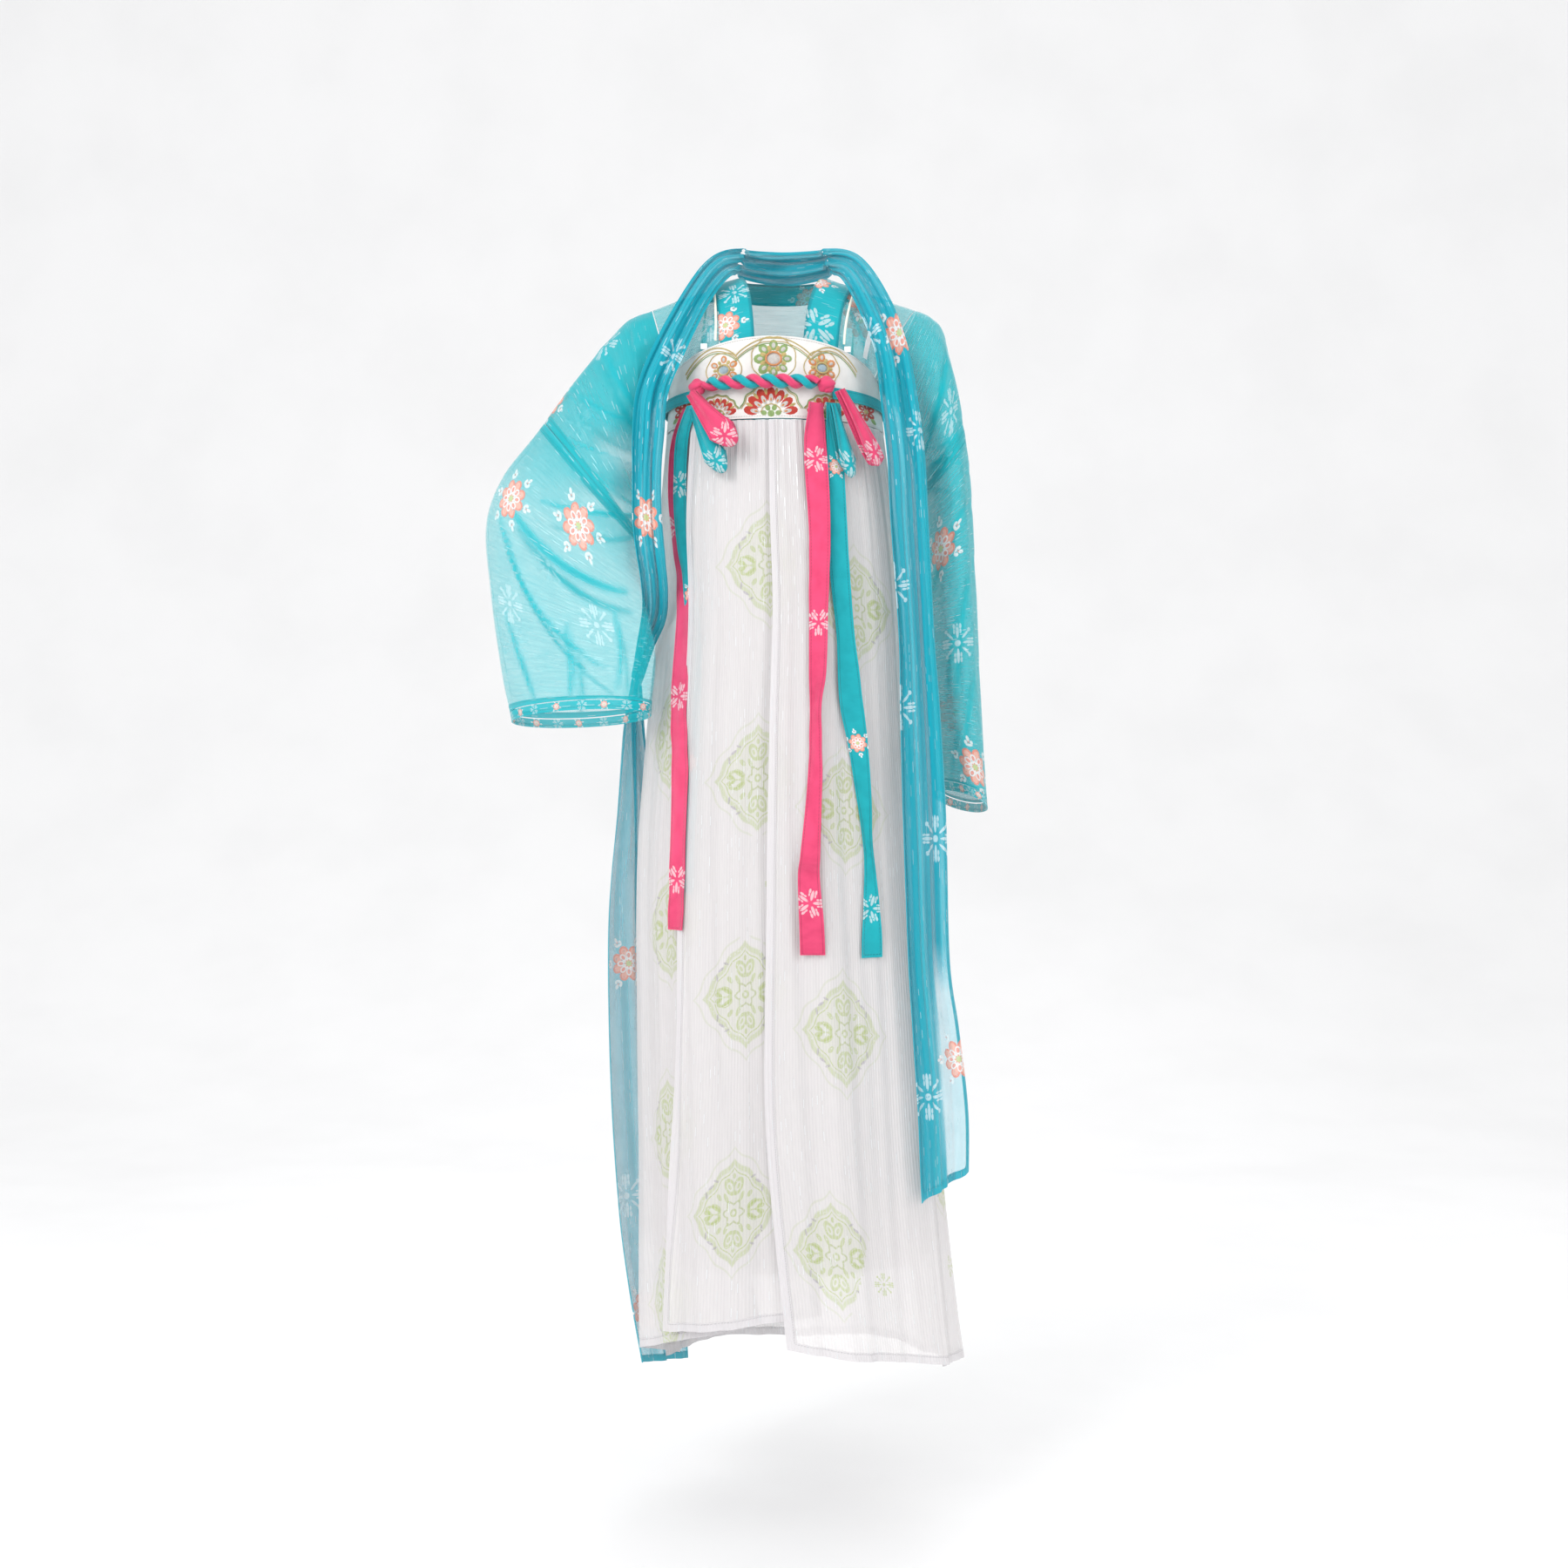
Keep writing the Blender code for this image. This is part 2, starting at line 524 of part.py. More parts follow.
def sleeve_section(side, stations, share):
    """A sleeve section's middle, half height and half depth vectors."""
    top = armhole(side, 0)
    low = armhole(side, 180)
    first = Sleeve(top.x, top.y, -top.z, low.x, low.y, -low.z, ARMHOLE_DEPTH)
    rows = (first,) + stations
    spot = Sleeve(*along(rows, share))
    high = Vector((spot.top_x, spot.top_y, -spot.top_drop))
    deep = Vector((spot.low_x, spot.low_y, -spot.low_drop))
    ahead = Sleeve(*along(rows, min(share + SECTION_REACH, 1.0)))
    behind = Sleeve(*along(rows, max(share - SECTION_REACH, 0.0)))
    travel = Vector(
        (
            ahead.top_x + ahead.low_x - behind.top_x - behind.low_x,
            ahead.top_y + ahead.low_y - behind.top_y - behind.low_y,
            behind.top_drop + behind.low_drop - ahead.top_drop - ahead.low_drop,
        )
    )
    forward = (high - deep).cross(travel).normalized()
    if forward.y > 0:
        forward.negate()
    ease = min(share * 4, 1.0)
    forward = Vector((0, -1, 0)).lerp(forward, ease).normalized()
    return (high + deep) / 2, (high - deep) / 2, forward * spot.half_depth


def on_sleeve(side, stations, share, turn):
    """A point on a sleeve: turn 0 at its outer edge, 90 at its front."""
    middle, up, forward = sleeve_section(side, stations, share)
    swing = math.radians(turn)
    return middle + up * math.cos(swing) + forward * math.sin(swing)


def build_sleeves(body):
    """Each sleeve in its sewn lengths and its hem band; the raised arm's has a shoulder length too."""
    for side, word, stations, count in ((-1, "right", RIGHT_SLEEVE, 7), (1, "left", LEFT_SLEEVE, 5)):
        seam = SLEEVE_SEAM[side]
        spans = [("upper", 0.006, seam - 0.0008, count - 2), ("lower", seam + 0.0008, 0.999, count)]
        if side < 0:
            spans[:1] = [("shoulder", 0.006, SHOULDER_SPLIT, 3), ("upper", SHOULDER_SPLIT + 0.002, seam - 0.0008, 3)]
        for part, start, end, rows in spans:

            def place(u, v, side=side, stations=stations, start=start, end=end):
                return on_sleeve(side, stations, start + (end - start) * v, 360 * u)

            sheet(body, "sleeve_%s_%s" % (word, part), place, 12, rows, "teal_chiffon", ring=True)

        def hem(u, v, side=side, stations=stations):
            point = on_sleeve(side, stations, 1.0, 360 * u)
            back = on_sleeve(side, stations, 0.97, 360 * u)
            return point + (point - back).normalized() * (0.0008 + CUFF_DEPTH * v)

        sheet(body, "sleeve_%s_hem" % word, hem, 12, 1, "teal_band", TIE_WALL, ring=True)


def band_top(angle):
    """The drop of the chest band's top edge."""
    turn = math.radians(min(abs((angle + 180) % 360 - 180), 90))
    return BAND_TOP_FRONT + (BAND_TOP_SIDE - BAND_TOP_FRONT) * (1 - math.cos(turn))


def build_skirt(body):
    """The chest band, the lapped skirt panels and the lining."""
    for word, start, end in (("front", -89.85, 89.85), ("back", 90.15, 269.85)):

        def band(u, v, start=start, end=end):
            angle = start + (end - start) * u
            top = band_top(angle)
            return on_ring(SKIRT_RINGS, angle, top + (BAND_BOTTOM - top) * v)

        sheet(body, "skirt_band_" + word, band, 16, 2, "embroidered_band", LINED_WALL)
    for panel in SKIRT_PANELS:

        def place(u, v, panel=panel):
            start = along([(angle,) for angle in panel.start], v)[0]
            end = along([(angle,) for angle in panel.end], v)[0]
            hem = panel.start_drop + (panel.end_drop - panel.start_drop) * u
            top = BAND_BOTTOM + LINED_WALL
            drop = top + (hem - top) * v
            lift = panel.start_lift + (panel.end_lift - panel.start_lift) * u
            return on_skirt(start + (end - start) * u, drop, lift * min(0.5 + v * 4, 1.0))

        sheet(body, panel.name, place, panel.columns, 6, "white_voile")

    def lining(u, v):
        top = BAND_BOTTOM + LINED_WALL
        drop = top + (LINING_HEM - top) * v
        inset = LINING_CLEARANCE * min(0.5 + v * 3, 1.0)
        angle = 360 * u
        return on_ring(SKIRT_RINGS, angle, drop, LINING_FOLD * fold_depth(angle, drop) - inset)

    sheet(body, "skirt_lining", lining, 32, 4, "white_lining", ring=True)


def build_ties(body):
    """The flat tie round the back, the twisted roll, knots, bows and tails."""
    lap = 6.0

    def band(u, v):
        angle = LEFT_KNOT_ANGLE + lap + (360 + RIGHT_KNOT_ANGLE - LEFT_KNOT_ANGLE - 2 * lap) * u
        sag = 0.008 * math.sin(math.pi * u)
        return on_ring(SKIRT_RINGS, angle, TIE_DROP + sag + TIE_HEIGHT * (v - 0.5), TIE_LIFT)

    sheet(body, "tie_band", band, 26, 1, "teal_tie", TIE_WALL)
    for name, start, cloth in (("roll_pink", 0.0, "pink_tie"), ("roll_teal", math.pi, "teal_tie")):
        points = []
        for step in range(22):
            share = step / 21
            span = LEFT_KNOT_ANGLE - RIGHT_KNOT_ANGLE - 2 * lap
            angle = RIGHT_KNOT_ANGLE + lap + span * share
            swing = start + 2 * math.pi * STRAND_TURNS * share
            drop = ROLL_DROP + STRAND_SPREAD * math.sin(swing)
            points.append(on_ring(SKIRT_RINGS, angle, drop, ROLL_LIFT + STRAND_SPREAD * math.cos(swing)))
        cord(body, name, points, STRAND_RADIUS, cloth)
    for name, angle in (("knot_left", LEFT_KNOT_ANGLE), ("knot_right", RIGHT_KNOT_ANGLE)):
        centre = on_ring(SKIRT_RINGS, angle, ROLL_DROP + 0.002, ROLL_LIFT)
        mesh = bmesh.new()
        bmesh.ops.create_uvsphere(mesh, u_segments=8, v_segments=6, radius=1.0)
        for vert in mesh.verts:
            vert.co = Vector([part * radius for part, radius in zip(vert.co, KNOT_RADII)]) + centre
        data = bpy.data.meshes.new(name)
        mesh.to_mesh(data)
        mesh.free()
        add(body, name, data, "pink_tie")
    for loop in LOOPS:

        def bow(u, v, loop=loop):
            reach = math.sin(math.pi * u)
            angle = loop.angle + (loop.tip_angle - loop.angle) * reach
            drop = loop.drop + (loop.tip_drop - loop.drop) * reach
            ahead = on_ring(SKIRT_RINGS, loop.tip_angle, loop.tip_drop)
            run = ahead - on_ring(SKIRT_RINGS, loop.angle, loop.drop)
            out = Vector((math.sin(math.radians(angle)), -math.cos(math.radians(angle)), 0.0))
            across = run.cross(out).normalized()
            width = loop.width * (0.55 + 0.45 * reach)
            lift = loop.lift + LOOP_HALF_DEPTH * math.cos(math.pi * u)
            return on_ring(SKIRT_RINGS, angle, drop) + out * lift + across * width * (v - 0.5)

        cloth = "pink_tie" if "pink" in loop.name else "teal_tie"
        sheet(body, loop.name, bow, 10, 1, cloth, TIE_WALL)
    tails = (
        ("tail_left_pink", LEFT_PINK_TAIL, "pink_tie"),
        ("tail_left_teal", LEFT_TEAL_TAIL, "teal_tie"),
        ("tail_right_pink", RIGHT_PINK_TAIL, "pink_tie"),
        ("tail_right_teal", RIGHT_TEAL_TAIL, "teal_tie"),
    )
    for name, rows, cloth in tails:

        def tail(u, v, rows=rows):
            spot = Tail(*along(rows, v))
            swing = math.radians(spot.turn)
            side = spot.width * (u - 0.5)
            turn = math.radians(spot.angle)
            out = Vector((math.sin(turn), -math.cos(turn), 0.0))
            across = Vector((math.cos(turn), math.sin(turn), 0.0))
            lift = spot.lift + spot.width / 2 * abs(math.sin(swing))
            middle = on_skirt(spot.angle, spot.drop, lift)
            return middle + across * side * math.cos(swing) + out * side * math.sin(swing)

        sheet(body, name, tail, 1, 2 * len(rows) - 2, cloth, TIE_WALL)


def build_straps(body):
    """The two shoulder cords, the clear strap and its clips."""
    for side, word, share in ((-1, "right", 0.30), (1, "left", 0.36)):
        points = []
        for step in range(6):
            points.append(lifted(lambda u, v, side=side: on_front(side, u, v), share, 0.78 - 0.154 * step, CORD_LIFT))
        back_share = 0.5 - side * (NECK_SHARE / 2 + share * (1 - NECK_SHARE) / 2)
        for step in range(6):
            points.append(lifted(on_back, back_share, 0.01 + 0.166 * step, CORD_LIFT))
        cord(body, "strap_" + word, points, CORD_RADIUS, "cream_cord")


    def clear(u, v):
        return lifted(lambda a, b: on_front(1, a, b), 0.62 + 0.06 * u, 0.80 - 0.50 * v, 0.0030)

    sheet(body, "clear_strap", clear, 1, 4, "clear_strap", SHEER_WALL)
    for word, angle in (("left", 44.0), ("right", -40.0)):
        mesh = bmesh.new()
        bmesh.ops.create_cube(mesh, size=1.0)
        centre = on_ring(SKIRT_RINGS, angle, band_top(angle) - CLIP_SIZE[2] / 2 - 0.001)
        for vert in mesh.verts:
            vert.co = Vector([part * size for part, size in zip(vert.co, CLIP_SIZE)]) + centre
        data = bpy.data.meshes.new("clip_" + word)
        mesh.to_mesh(data)
        mesh.free()
        add(body, "clip_" + word, data, "white_clip")


def build_shawl(body):
    """The gathered shawl in four lengths, from its right end round the neck to its left end."""
    lengths = (
        ("shawl_neck", SHAWL_NECK, 8, 8, 2.0),
        ("shawl_right", SHAWL_RIGHT, 8, 18, 2.0),
        ("shawl_right_fall", SHAWL_RIGHT_FALL, 8, 11, 2.0),
        ("shawl_left", SHAWL_LEFT, 8, 18, 2.0),
    )
    for name, stations, columns, rows, waves in lengths:

        def place(u, v, stations=stations, waves=waves):
            spot = Shawl(*along(stations, v))
            ahead = Shawl(*along(stations, min(v + 0.01, 1.0)))
            behind = Shawl(*along(stations, max(v - 0.01, 0.0)))
            across = Vector((spot.across_x, spot.across_y, -spot.across_drop)).normalized()
            travel = Vector((ahead.x - behind.x, ahead.y - behind.y, behind.drop - ahead.drop))
            out = across.cross(travel).normalized()
            swell = math.sin(2 * math.pi * waves * u)
            return Vector((spot.x, spot.y, -spot.drop)) + across * spot.width * (u - 0.5) + out * spot.wave * swell

        sheet(body, name, place, columns, rows, "shawl_chiffon")


def main():
    body = fresh_scene()
    build_blouse(body)
    build_sleeves(body)
    build_skirt(body)
    build_ties(body)
    build_straps(body)
    build_shawl(body)


main()
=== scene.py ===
"""A hanfu set as worn: teal chiffon blouse and shawl, white pleated skirt, embroidered band and ties.

Metres, +Z up, the front towards -Y. Drops are measured down from the shoulder line, and angles round the
body are in degrees from the front, growing towards the wearer's left. A surface's u runs round or across it
and v down it.
"""

import math
from collections import namedtuple
from functools import partial

import bmesh
import bpy
import numpy as np
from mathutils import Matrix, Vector


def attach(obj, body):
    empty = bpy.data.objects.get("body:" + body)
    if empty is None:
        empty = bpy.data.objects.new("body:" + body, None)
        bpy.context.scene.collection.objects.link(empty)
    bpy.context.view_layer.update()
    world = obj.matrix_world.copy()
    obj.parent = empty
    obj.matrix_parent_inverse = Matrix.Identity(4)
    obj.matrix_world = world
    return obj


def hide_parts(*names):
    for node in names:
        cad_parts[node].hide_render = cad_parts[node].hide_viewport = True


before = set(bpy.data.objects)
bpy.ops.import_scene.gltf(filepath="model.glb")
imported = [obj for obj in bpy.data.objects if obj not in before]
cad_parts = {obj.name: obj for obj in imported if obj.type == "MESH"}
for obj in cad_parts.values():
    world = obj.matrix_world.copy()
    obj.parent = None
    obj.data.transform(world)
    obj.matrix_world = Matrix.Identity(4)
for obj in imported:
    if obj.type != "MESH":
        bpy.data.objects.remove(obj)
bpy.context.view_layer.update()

bl_info = {
    "name": "Hanfu set",
    "version": (1, 0, 0),
    "blender": (4, 5, 0),
    "location": "3D View > Sidebar > Hanfu",
    "description": "Sews a worn hanfu set round its packed frame",
    "category": "Object",
}

Ring = namedtuple("Ring", "drop right left front back")
Sleeve = namedtuple("Sleeve", "top_x top_y top_drop low_x low_y low_drop half_depth")
Panel = namedtuple("Panel", "name start end start_lift end_lift start_drop end_drop columns rows")
Fold = namedtuple("Fold", "angle spread depth")
Shawl = namedtuple("Shawl", "x y drop across_x across_y across_drop width wave")
Tail = namedtuple("Tail", "angle drop width turn lift", defaults=(0.0085,))
Loop = namedtuple("Loop", "name angle drop tip_angle tip_drop width lift round")
Crease = namedtuple("Crease", "x drop middle_x middle_drop end_x end_drop width depth")
Motif = namedtuple("Motif", "x drop kind size turn back", defaults=(0, 0))
Sheet = namedtuple("Sheet", "piece wide long")

NECK_HALF = 0.055
NECK_RISE = 0.022
NECK_BACK = 0.058
NECK_BACK_RISE = 0.030
NECK_SHARE = 0.33
SHOULDER_SEAM = 0.0008
SHOULDER_HALF = 0.165
SHOULDER_DROP = 0.015
UNDERARM_DROP = 0.105
ARMHOLE_DEPTH = 0.062
BLOUSE_LENGTH = 0.42
FRONT_EDGE = {-1: -0.035, 1: 0.022}
COLLAR_WIDTH = 0.043
COLLAR_LIFT = 0.0040
COLLAR_HEM = 0.0085
CUFF_DEPTH = 0.011
CUFF_GAP = 0.0008
CUFF_TILT = 0.009
SLEEVE_START = 0.006
SLEEVE_END = 0.999
SEAM_GAP = 0.0008
SECTION_REACH = 0.12
BAND_TOP_FRONT = 0.070
BAND_TOP_SIDE = 0.120
BAND_BOTTOM = 0.170
LINED_WALL = 0.0018
LINING_HEM = 1.195
LINING_LENGTH = 1.02
LINING_CLEARANCE = 0.016
LINING_FOLD = 0.6
FOLD_START = 0.16
TIE_HEIGHT = 0.014
TIE_LIFT = 0.0045
TIE_DROP = 0.137
ROLL_DROP = 0.127
ROLL_LIFT = 0.0118
STRAND_RADIUS = 0.0040
STRAND_SPREAD = 0.0044
STRAND_TURNS = 4.0
LEFT_KNOT_ANGLE = 26.0
RIGHT_KNOT_ANGLE = -40.0
KNOT_LAP = 5.0
LOOP_HALF_DEPTH = 0.0042
LOOP_TAPER = 0.8
CORD_LIFT = 0.0075
CORD_RADIUS = 0.0015
SHAWL_WAVES = 2.0
MEDALLION_SIZE = 0.066
SMALL_STAR_SIZE = 0.015
MEDALLION_COLUMN = 0.115
MEDALLION_STEP = 0.2545
CLIP_SIZE = (0.008, 0.003, 0.007)
FLOOR_HEIGHT = -1.51
FLOOR_RUN = 14.0
FLOOR_FLAT = 7.2
FLOOR_BEND = 2.4
CAMERA_PLACE = (0.0, -2.5, -0.61)
CAMERA_LENS = 45.45
SKY_STRENGTH = 0.93

BLOUSE_RINGS = (
    Ring(0.105, -0.139, 0.110, -0.100, 0.098),
    Ring(0.200, -0.129, 0.105, -0.100, 0.096),
    Ring(0.300, -0.127, 0.109, -0.101, 0.094),
    Ring(0.420, -0.131, 0.119, -0.106, 0.096),
)
SKIRT_RINGS = (
    Ring(0.050, -0.144, 0.116, -0.115, 0.112),
    Ring(0.125, -0.145, 0.120, -0.117, 0.114),
    Ring(0.170, -0.147, 0.125, -0.120, 0.116),
    Ring(0.280, -0.156, 0.138, -0.129, 0.120),
    Ring(0.400, -0.158, 0.147, -0.136, 0.126),
    Ring(0.550, -0.171, 0.155, -0.144, 0.132),
    Ring(0.720, -0.182, 0.166, -0.151, 0.139),
    Ring(0.940, -0.180, 0.182, -0.158, 0.148),
    Ring(1.100, -0.177, 0.193, -0.162, 0.154),
    Ring(1.270, -0.176, 0.210, -0.166, 0.160),
    Ring(1.360, -0.173, 0.222, -0.168, 0.162),
)
SKIRT_FOLDS = (
    Fold(-150, 11, 0.014),
    Fold(-118, 10, -0.012),
    Fold(-92, 9, 0.010),
    Fold(-70, 8, -0.009),
    Fold(-30, 9, 0.008),
    Fold(-12, 7, -0.009),
    Fold(17, 9, 0.008),
    Fold(37, 8, -0.009),
    Fold(57, 8, 0.010),
    Fold(76, 7, -0.010),
    Fold(96, 8, 0.012),
    Fold(124, 11, -0.012),
    Fold(152, 11, 0.014),
    Fold(180, 9, -0.013),
)
SKIRT_PANELS = (
    Panel(
        "skirt_front_left", (-3, -3, -4, -8, -4), (70, 71, 72, 73, 74), 0.005, 0.005, 1.276, 1.324, 130, 110
    ),
    Panel(
        "skirt_front_right", (-46, -42, -40, -45, -54), (8, 8, 8, 8, 9), 0.010, -0.003, 1.272, 1.238, 100, 110
    ),
    Panel("skirt_side_left", (58, 59, 60, 61, 62), (122,) * 5, -0.003, 0.0, 1.322, 1.350, 90, 80),
    Panel("skirt_side_right", (-122,) * 5, (-34, -30, -28, -26, -14), 0.0, -0.006, 1.350, 1.250, 120, 90),
    Panel("skirt_back", (114,) * 5, (246,) * 5, 0.005, 0.005, 1.350, 1.350, 160, 80),
)
# Wearer's right arm, hand on hip: the sleeve fans round its inner edge and falls from the elbow.
RIGHT_SLEEVE = (
    Sleeve(-0.186, 0.005, 0.022, -0.166, -0.004, 0.134, 0.064),
    Sleeve(-0.208, 0.010, 0.036, -0.175, -0.008, 0.190, 0.064),
    Sleeve(-0.258, 0.012, 0.098, -0.180, -0.045, 0.262, 0.056),
    Sleeve(-0.312, 0.012, 0.172, -0.180, -0.078, 0.318, 0.050),
    Sleeve(-0.354, 0.008, 0.226, -0.174, -0.096, 0.366, 0.046),
    Sleeve(-0.373, 0.000, 0.285, -0.166, -0.106, 0.410, 0.046),
    Sleeve(-0.367, -0.006, 0.365, -0.160, -0.112, 0.445, 0.047),
    Sleeve(-0.353, -0.010, 0.450, -0.160, -0.113, 0.478, 0.048),
    Sleeve(-0.338, -0.014, 0.524, -0.164, -0.112, 0.512, 0.050),
)
# Wearer's left arm, hanging: the sleeve is flat from side to side and deep from front to back.
LEFT_SLEEVE = (
    Sleeve(0.186, 0.005, 0.024, 0.142, -0.002, 0.134, 0.065),
    Sleeve(0.200, 0.008, 0.045, 0.158, -0.004, 0.172, 0.066),
    Sleeve(0.217, 0.006, 0.125, 0.170, -0.004, 0.215, 0.070),
    Sleeve(0.229, 0.004, 0.215, 0.176, -0.004, 0.270, 0.072),
    Sleeve(0.237, 0.002, 0.340, 0.180, -0.004, 0.365, 0.072),
    Sleeve(0.243, 0.000, 0.480, 0.184, -0.006, 0.480, 0.072),
    Sleeve(0.248, 0.000, 0.580, 0.190, -0.008, 0.565, 0.073),
    Sleeve(0.247, 0.000, 0.634, 0.196, -0.010, 0.606, 0.074),
)
SLEEVE_SEAM = {-1: 0.42, 1: 0.45}  # the share of each sleeve above the seam where its lower part is sewn on

SHAWL_NECK = (
    Shawl(-0.054, 0.004, -0.052, -0.25, 0.20, 0.95, 0.030, 0.0030),
    Shawl(-0.048, 0.048, -0.058, -0.30, 0.45, 0.84, 0.038, 0.0036),
    Shawl(0.000, 0.078, -0.060, 0.00, 0.50, 0.87, 0.044, 0.0040),
    Shawl(0.048, 0.048, -0.058, 0.30, 0.45, 0.84, 0.038, 0.0036),
    Shawl(0.054, 0.004, -0.052, 0.25, 0.20, 0.95, 0.030, 0.0030),
)
SHAWL_RIGHT = (
    Shawl(-0.0545, 0.002, -0.0515, -0.25, 0.20, 0.95, 0.030, 0.0030),
    Shawl(-0.079, -0.052, -0.029, 0.66, -0.20, 0.72, 0.036, 0.0036),
    Shawl(-0.105, -0.084, 0.013, 0.70, -0.25, 0.66, 0.038, 0.0040),
    Shawl(-0.140, -0.097, 0.083, 0.80, -0.35, 0.48, 0.044, 0.0046),
    Shawl(-0.160, -0.098, 0.134, 0.92, -0.30, 0.25, 0.042, 0.0050),
    Shawl(-0.164, -0.108, 0.188, 0.97, -0.22, 0.05, 0.040, 0.0050),
    Shawl(-0.165, -0.118, 0.235, 0.98, -0.20, 0.00, 0.036, 0.0046),
    Shawl(-0.164, -0.128, 0.290, 0.97, -0.15, 0.10, 0.036, 0.0044),
    Shawl(-0.160, -0.124, 0.335, 0.92, 0.10, 0.35, 0.038, 0.0044),
    Shawl(-0.157, -0.104, 0.368, 0.85, 0.30, 0.40, 0.038, 0.0040),
    Shawl(-0.159, -0.074, 0.400, 0.70, 0.52, 0.45, 0.038, 0.0040),
    Shawl(-0.172, -0.040, 0.435, 0.40, 0.80, 0.40, 0.034, 0.0036),
    Shawl(-0.186, -0.006, 0.480, 0.15, 0.95, 0.20, 0.034, 0.0034),
)
SHAWL_RIGHT_FALL = (
    Shawl(-0.186, -0.005, 0.4815, 0.15, 0.95, 0.20, 0.034, 0.0034),
    Shawl(-0.191, 0.022, 0.545, 0.35, 0.93, 0.00, 0.052, 0.0050),
    Shawl(-0.1895, 0.039, 0.662, 0.48, 0.87, 0.00, 0.090, 0.0060),
    Shawl(-0.1918, 0.062, 0.792, 0.50, 0.86, 0.00, 0.120, 0.0070),
    Shawl(-0.1846, 0.075, 0.987, 0.50, 0.86, 0.00, 0.140, 0.0075),
    Shawl(-0.1757, 0.080, 1.147, 0.49, 0.87, 0.00, 0.140, 0.0075),
    Shawl(-0.1670, 0.083, 1.248, 0.45, 0.89, 0.10, 0.140, 0.0075),
    Shawl(-0.1550, 0.085, 1.362, 0.36, 0.93, 0.22, 0.140, 0.0075),
)
SHAWL_LEFT = (
    Shawl(0.0545, 0.002, -0.0515, 0.25, 0.20, 0.95, 0.030, 0.0030),
    Shawl(0.083, -0.053, -0.028, -0.66, -0.20, 0.72, 0.038, 0.0036),
    Shawl(0.110, -0.086, 0.025, -0.76, -0.25, 0.60, 0.044, 0.0042),
    Shawl(0.130, -0.096, 0.081, -0.84, -0.30, 0.42, 0.044, 0.0048),
    Shawl(0.140, -0.096, 0.145, -0.96, -0.20, 0.10, 0.046, 0.0052),
    Shawl(0.148, -0.100, 0.214, -0.99, -0.10, 0.00, 0.046, 0.0056),
    Shawl(0.152, -0.104, 0.294, -1.00, -0.05, 0.00, 0.046, 0.0060),
    Shawl(0.160, -0.110, 0.432, -1.00, -0.05, 0.00, 0.043, 0.0064),
    Shawl(0.164, -0.114, 0.523, -1.00, -0.05, 0.00, 0.048, 0.0064),
    Shawl(0.169, -0.118, 0.652, -1.00, -0.05, 0.00, 0.052, 0.0066),
    Shawl(0.174, -0.120, 0.819, -1.00, -0.05, 0.00, 0.050, 0.0070),
    Shawl(0.182, -0.120, 0.903, -1.00, -0.08, 0.02, 0.056, 0.0070),
    Shawl(0.191, -0.120, 1.003, -1.00, -0.10, 0.25, 0.062, 0.0066),
    Shawl(0.194, -0.120, 1.095, -0.90, -0.10, 0.60, 0.068, 0.0060),
)
LEFT_PINK_TAIL = (
    Tail(20, 0.152, 0.022, -20),
    Tail(18.4, 0.220, 0.028, 10),
    Tail(17.9, 0.305, 0.026, 30),
    Tail(16.1, 0.392, 0.024, 35),
    Tail(15.4, 0.475, 0.022, 40),
    Tail(14.7, 0.517, 0.016, 45),
    Tail(14.2, 0.598, 0.018, 40),
    Tail(12.1, 0.689, 0.024, 30),
    Tail(11.3, 0.719, 0.026, 25),
    Tail(11.7, 0.771, 0.029, 15),
    Tail(11.7, 0.812, 0.030, 5),
)
LEFT_TEAL_TAIL = (
    Tail(30, 0.150, 0.020, 0),
    Tail(28.2, 0.238, 0.022, 10),
    Tail(26.4, 0.348, 0.024, 25),
    Tail(28.0, 0.433, 0.022, 35),
    Tail(30.6, 0.506, 0.029, 15),
    Tail(33.2, 0.564, 0.024, 35),
    Tail(35.7, 0.628, 0.018, 45),
    Tail(37.1, 0.677, 0.012, 50),
    Tail(37.7, 0.716, 0.014, 40),
    Tail(37.1, 0.818, 0.030, 5),
)
RIGHT_PINK_TAIL = (
    Tail(-48, 0.152, 0.016, 0, 0.0090),
    Tail(-54, 0.190, 0.018, -35, 0.0040),
    Tail(-55, 0.240, 0.020, -30, 0.0020),
    Tail(-53, 0.300, 0.024, -15, -0.0004),
    Tail(-49, 0.370, 0.026, 0, 0.0020),
    Tail(-45.5, 0.472, 0.028, 0, 0.0080),
    Tail(-44.0, 0.525, 0.027, 0, 0.0105),
    Tail(-41.0, 0.600, 0.026, 0, 0.0115),
    Tail(-40.2, 0.716, 0.024, 0, 0.0110),
    Tail(-41.2, 0.785, 0.024, 0, 0.0110),
)
RIGHT_TEAL_TAIL = (
    Tail(-43, 0.150, 0.016, 0, 0.0130),
    Tail(-49.5, 0.190, 0.016, -40, 0.0065),
    Tail(-50, 0.240, 0.016, -35, 0.0050),
    Tail(-48.5, 0.300, 0.018, -20, 0.0040),
    Tail(-44, 0.370, 0.024, 0, 0.0030),
    Tail(-40, 0.472, 0.026, 0, 0.0026),
    Tail(-37, 0.600, 0.026, 0, 0.0060),
    Tail(-37, 0.740, 0.024, 0, 0.0080),
)
LOOPS = (
    Loop("bow_right_pink", -37.0, 0.140, -17.0, 0.206, 0.035, 0.0300, 0.36),
    Loop("bow_right_teal", -39.0, 0.156, -23.0, 0.236, 0.028, 0.0185, 0.30),
    Loop("bow_left_pink", 29.0, 0.138, 46.0, 0.224, 0.028, 0.0300, 0.05),
    Loop("bow_left_teal", 27.0, 0.154, 34.0, 0.240, 0.024, 0.0185, 0.26),
)


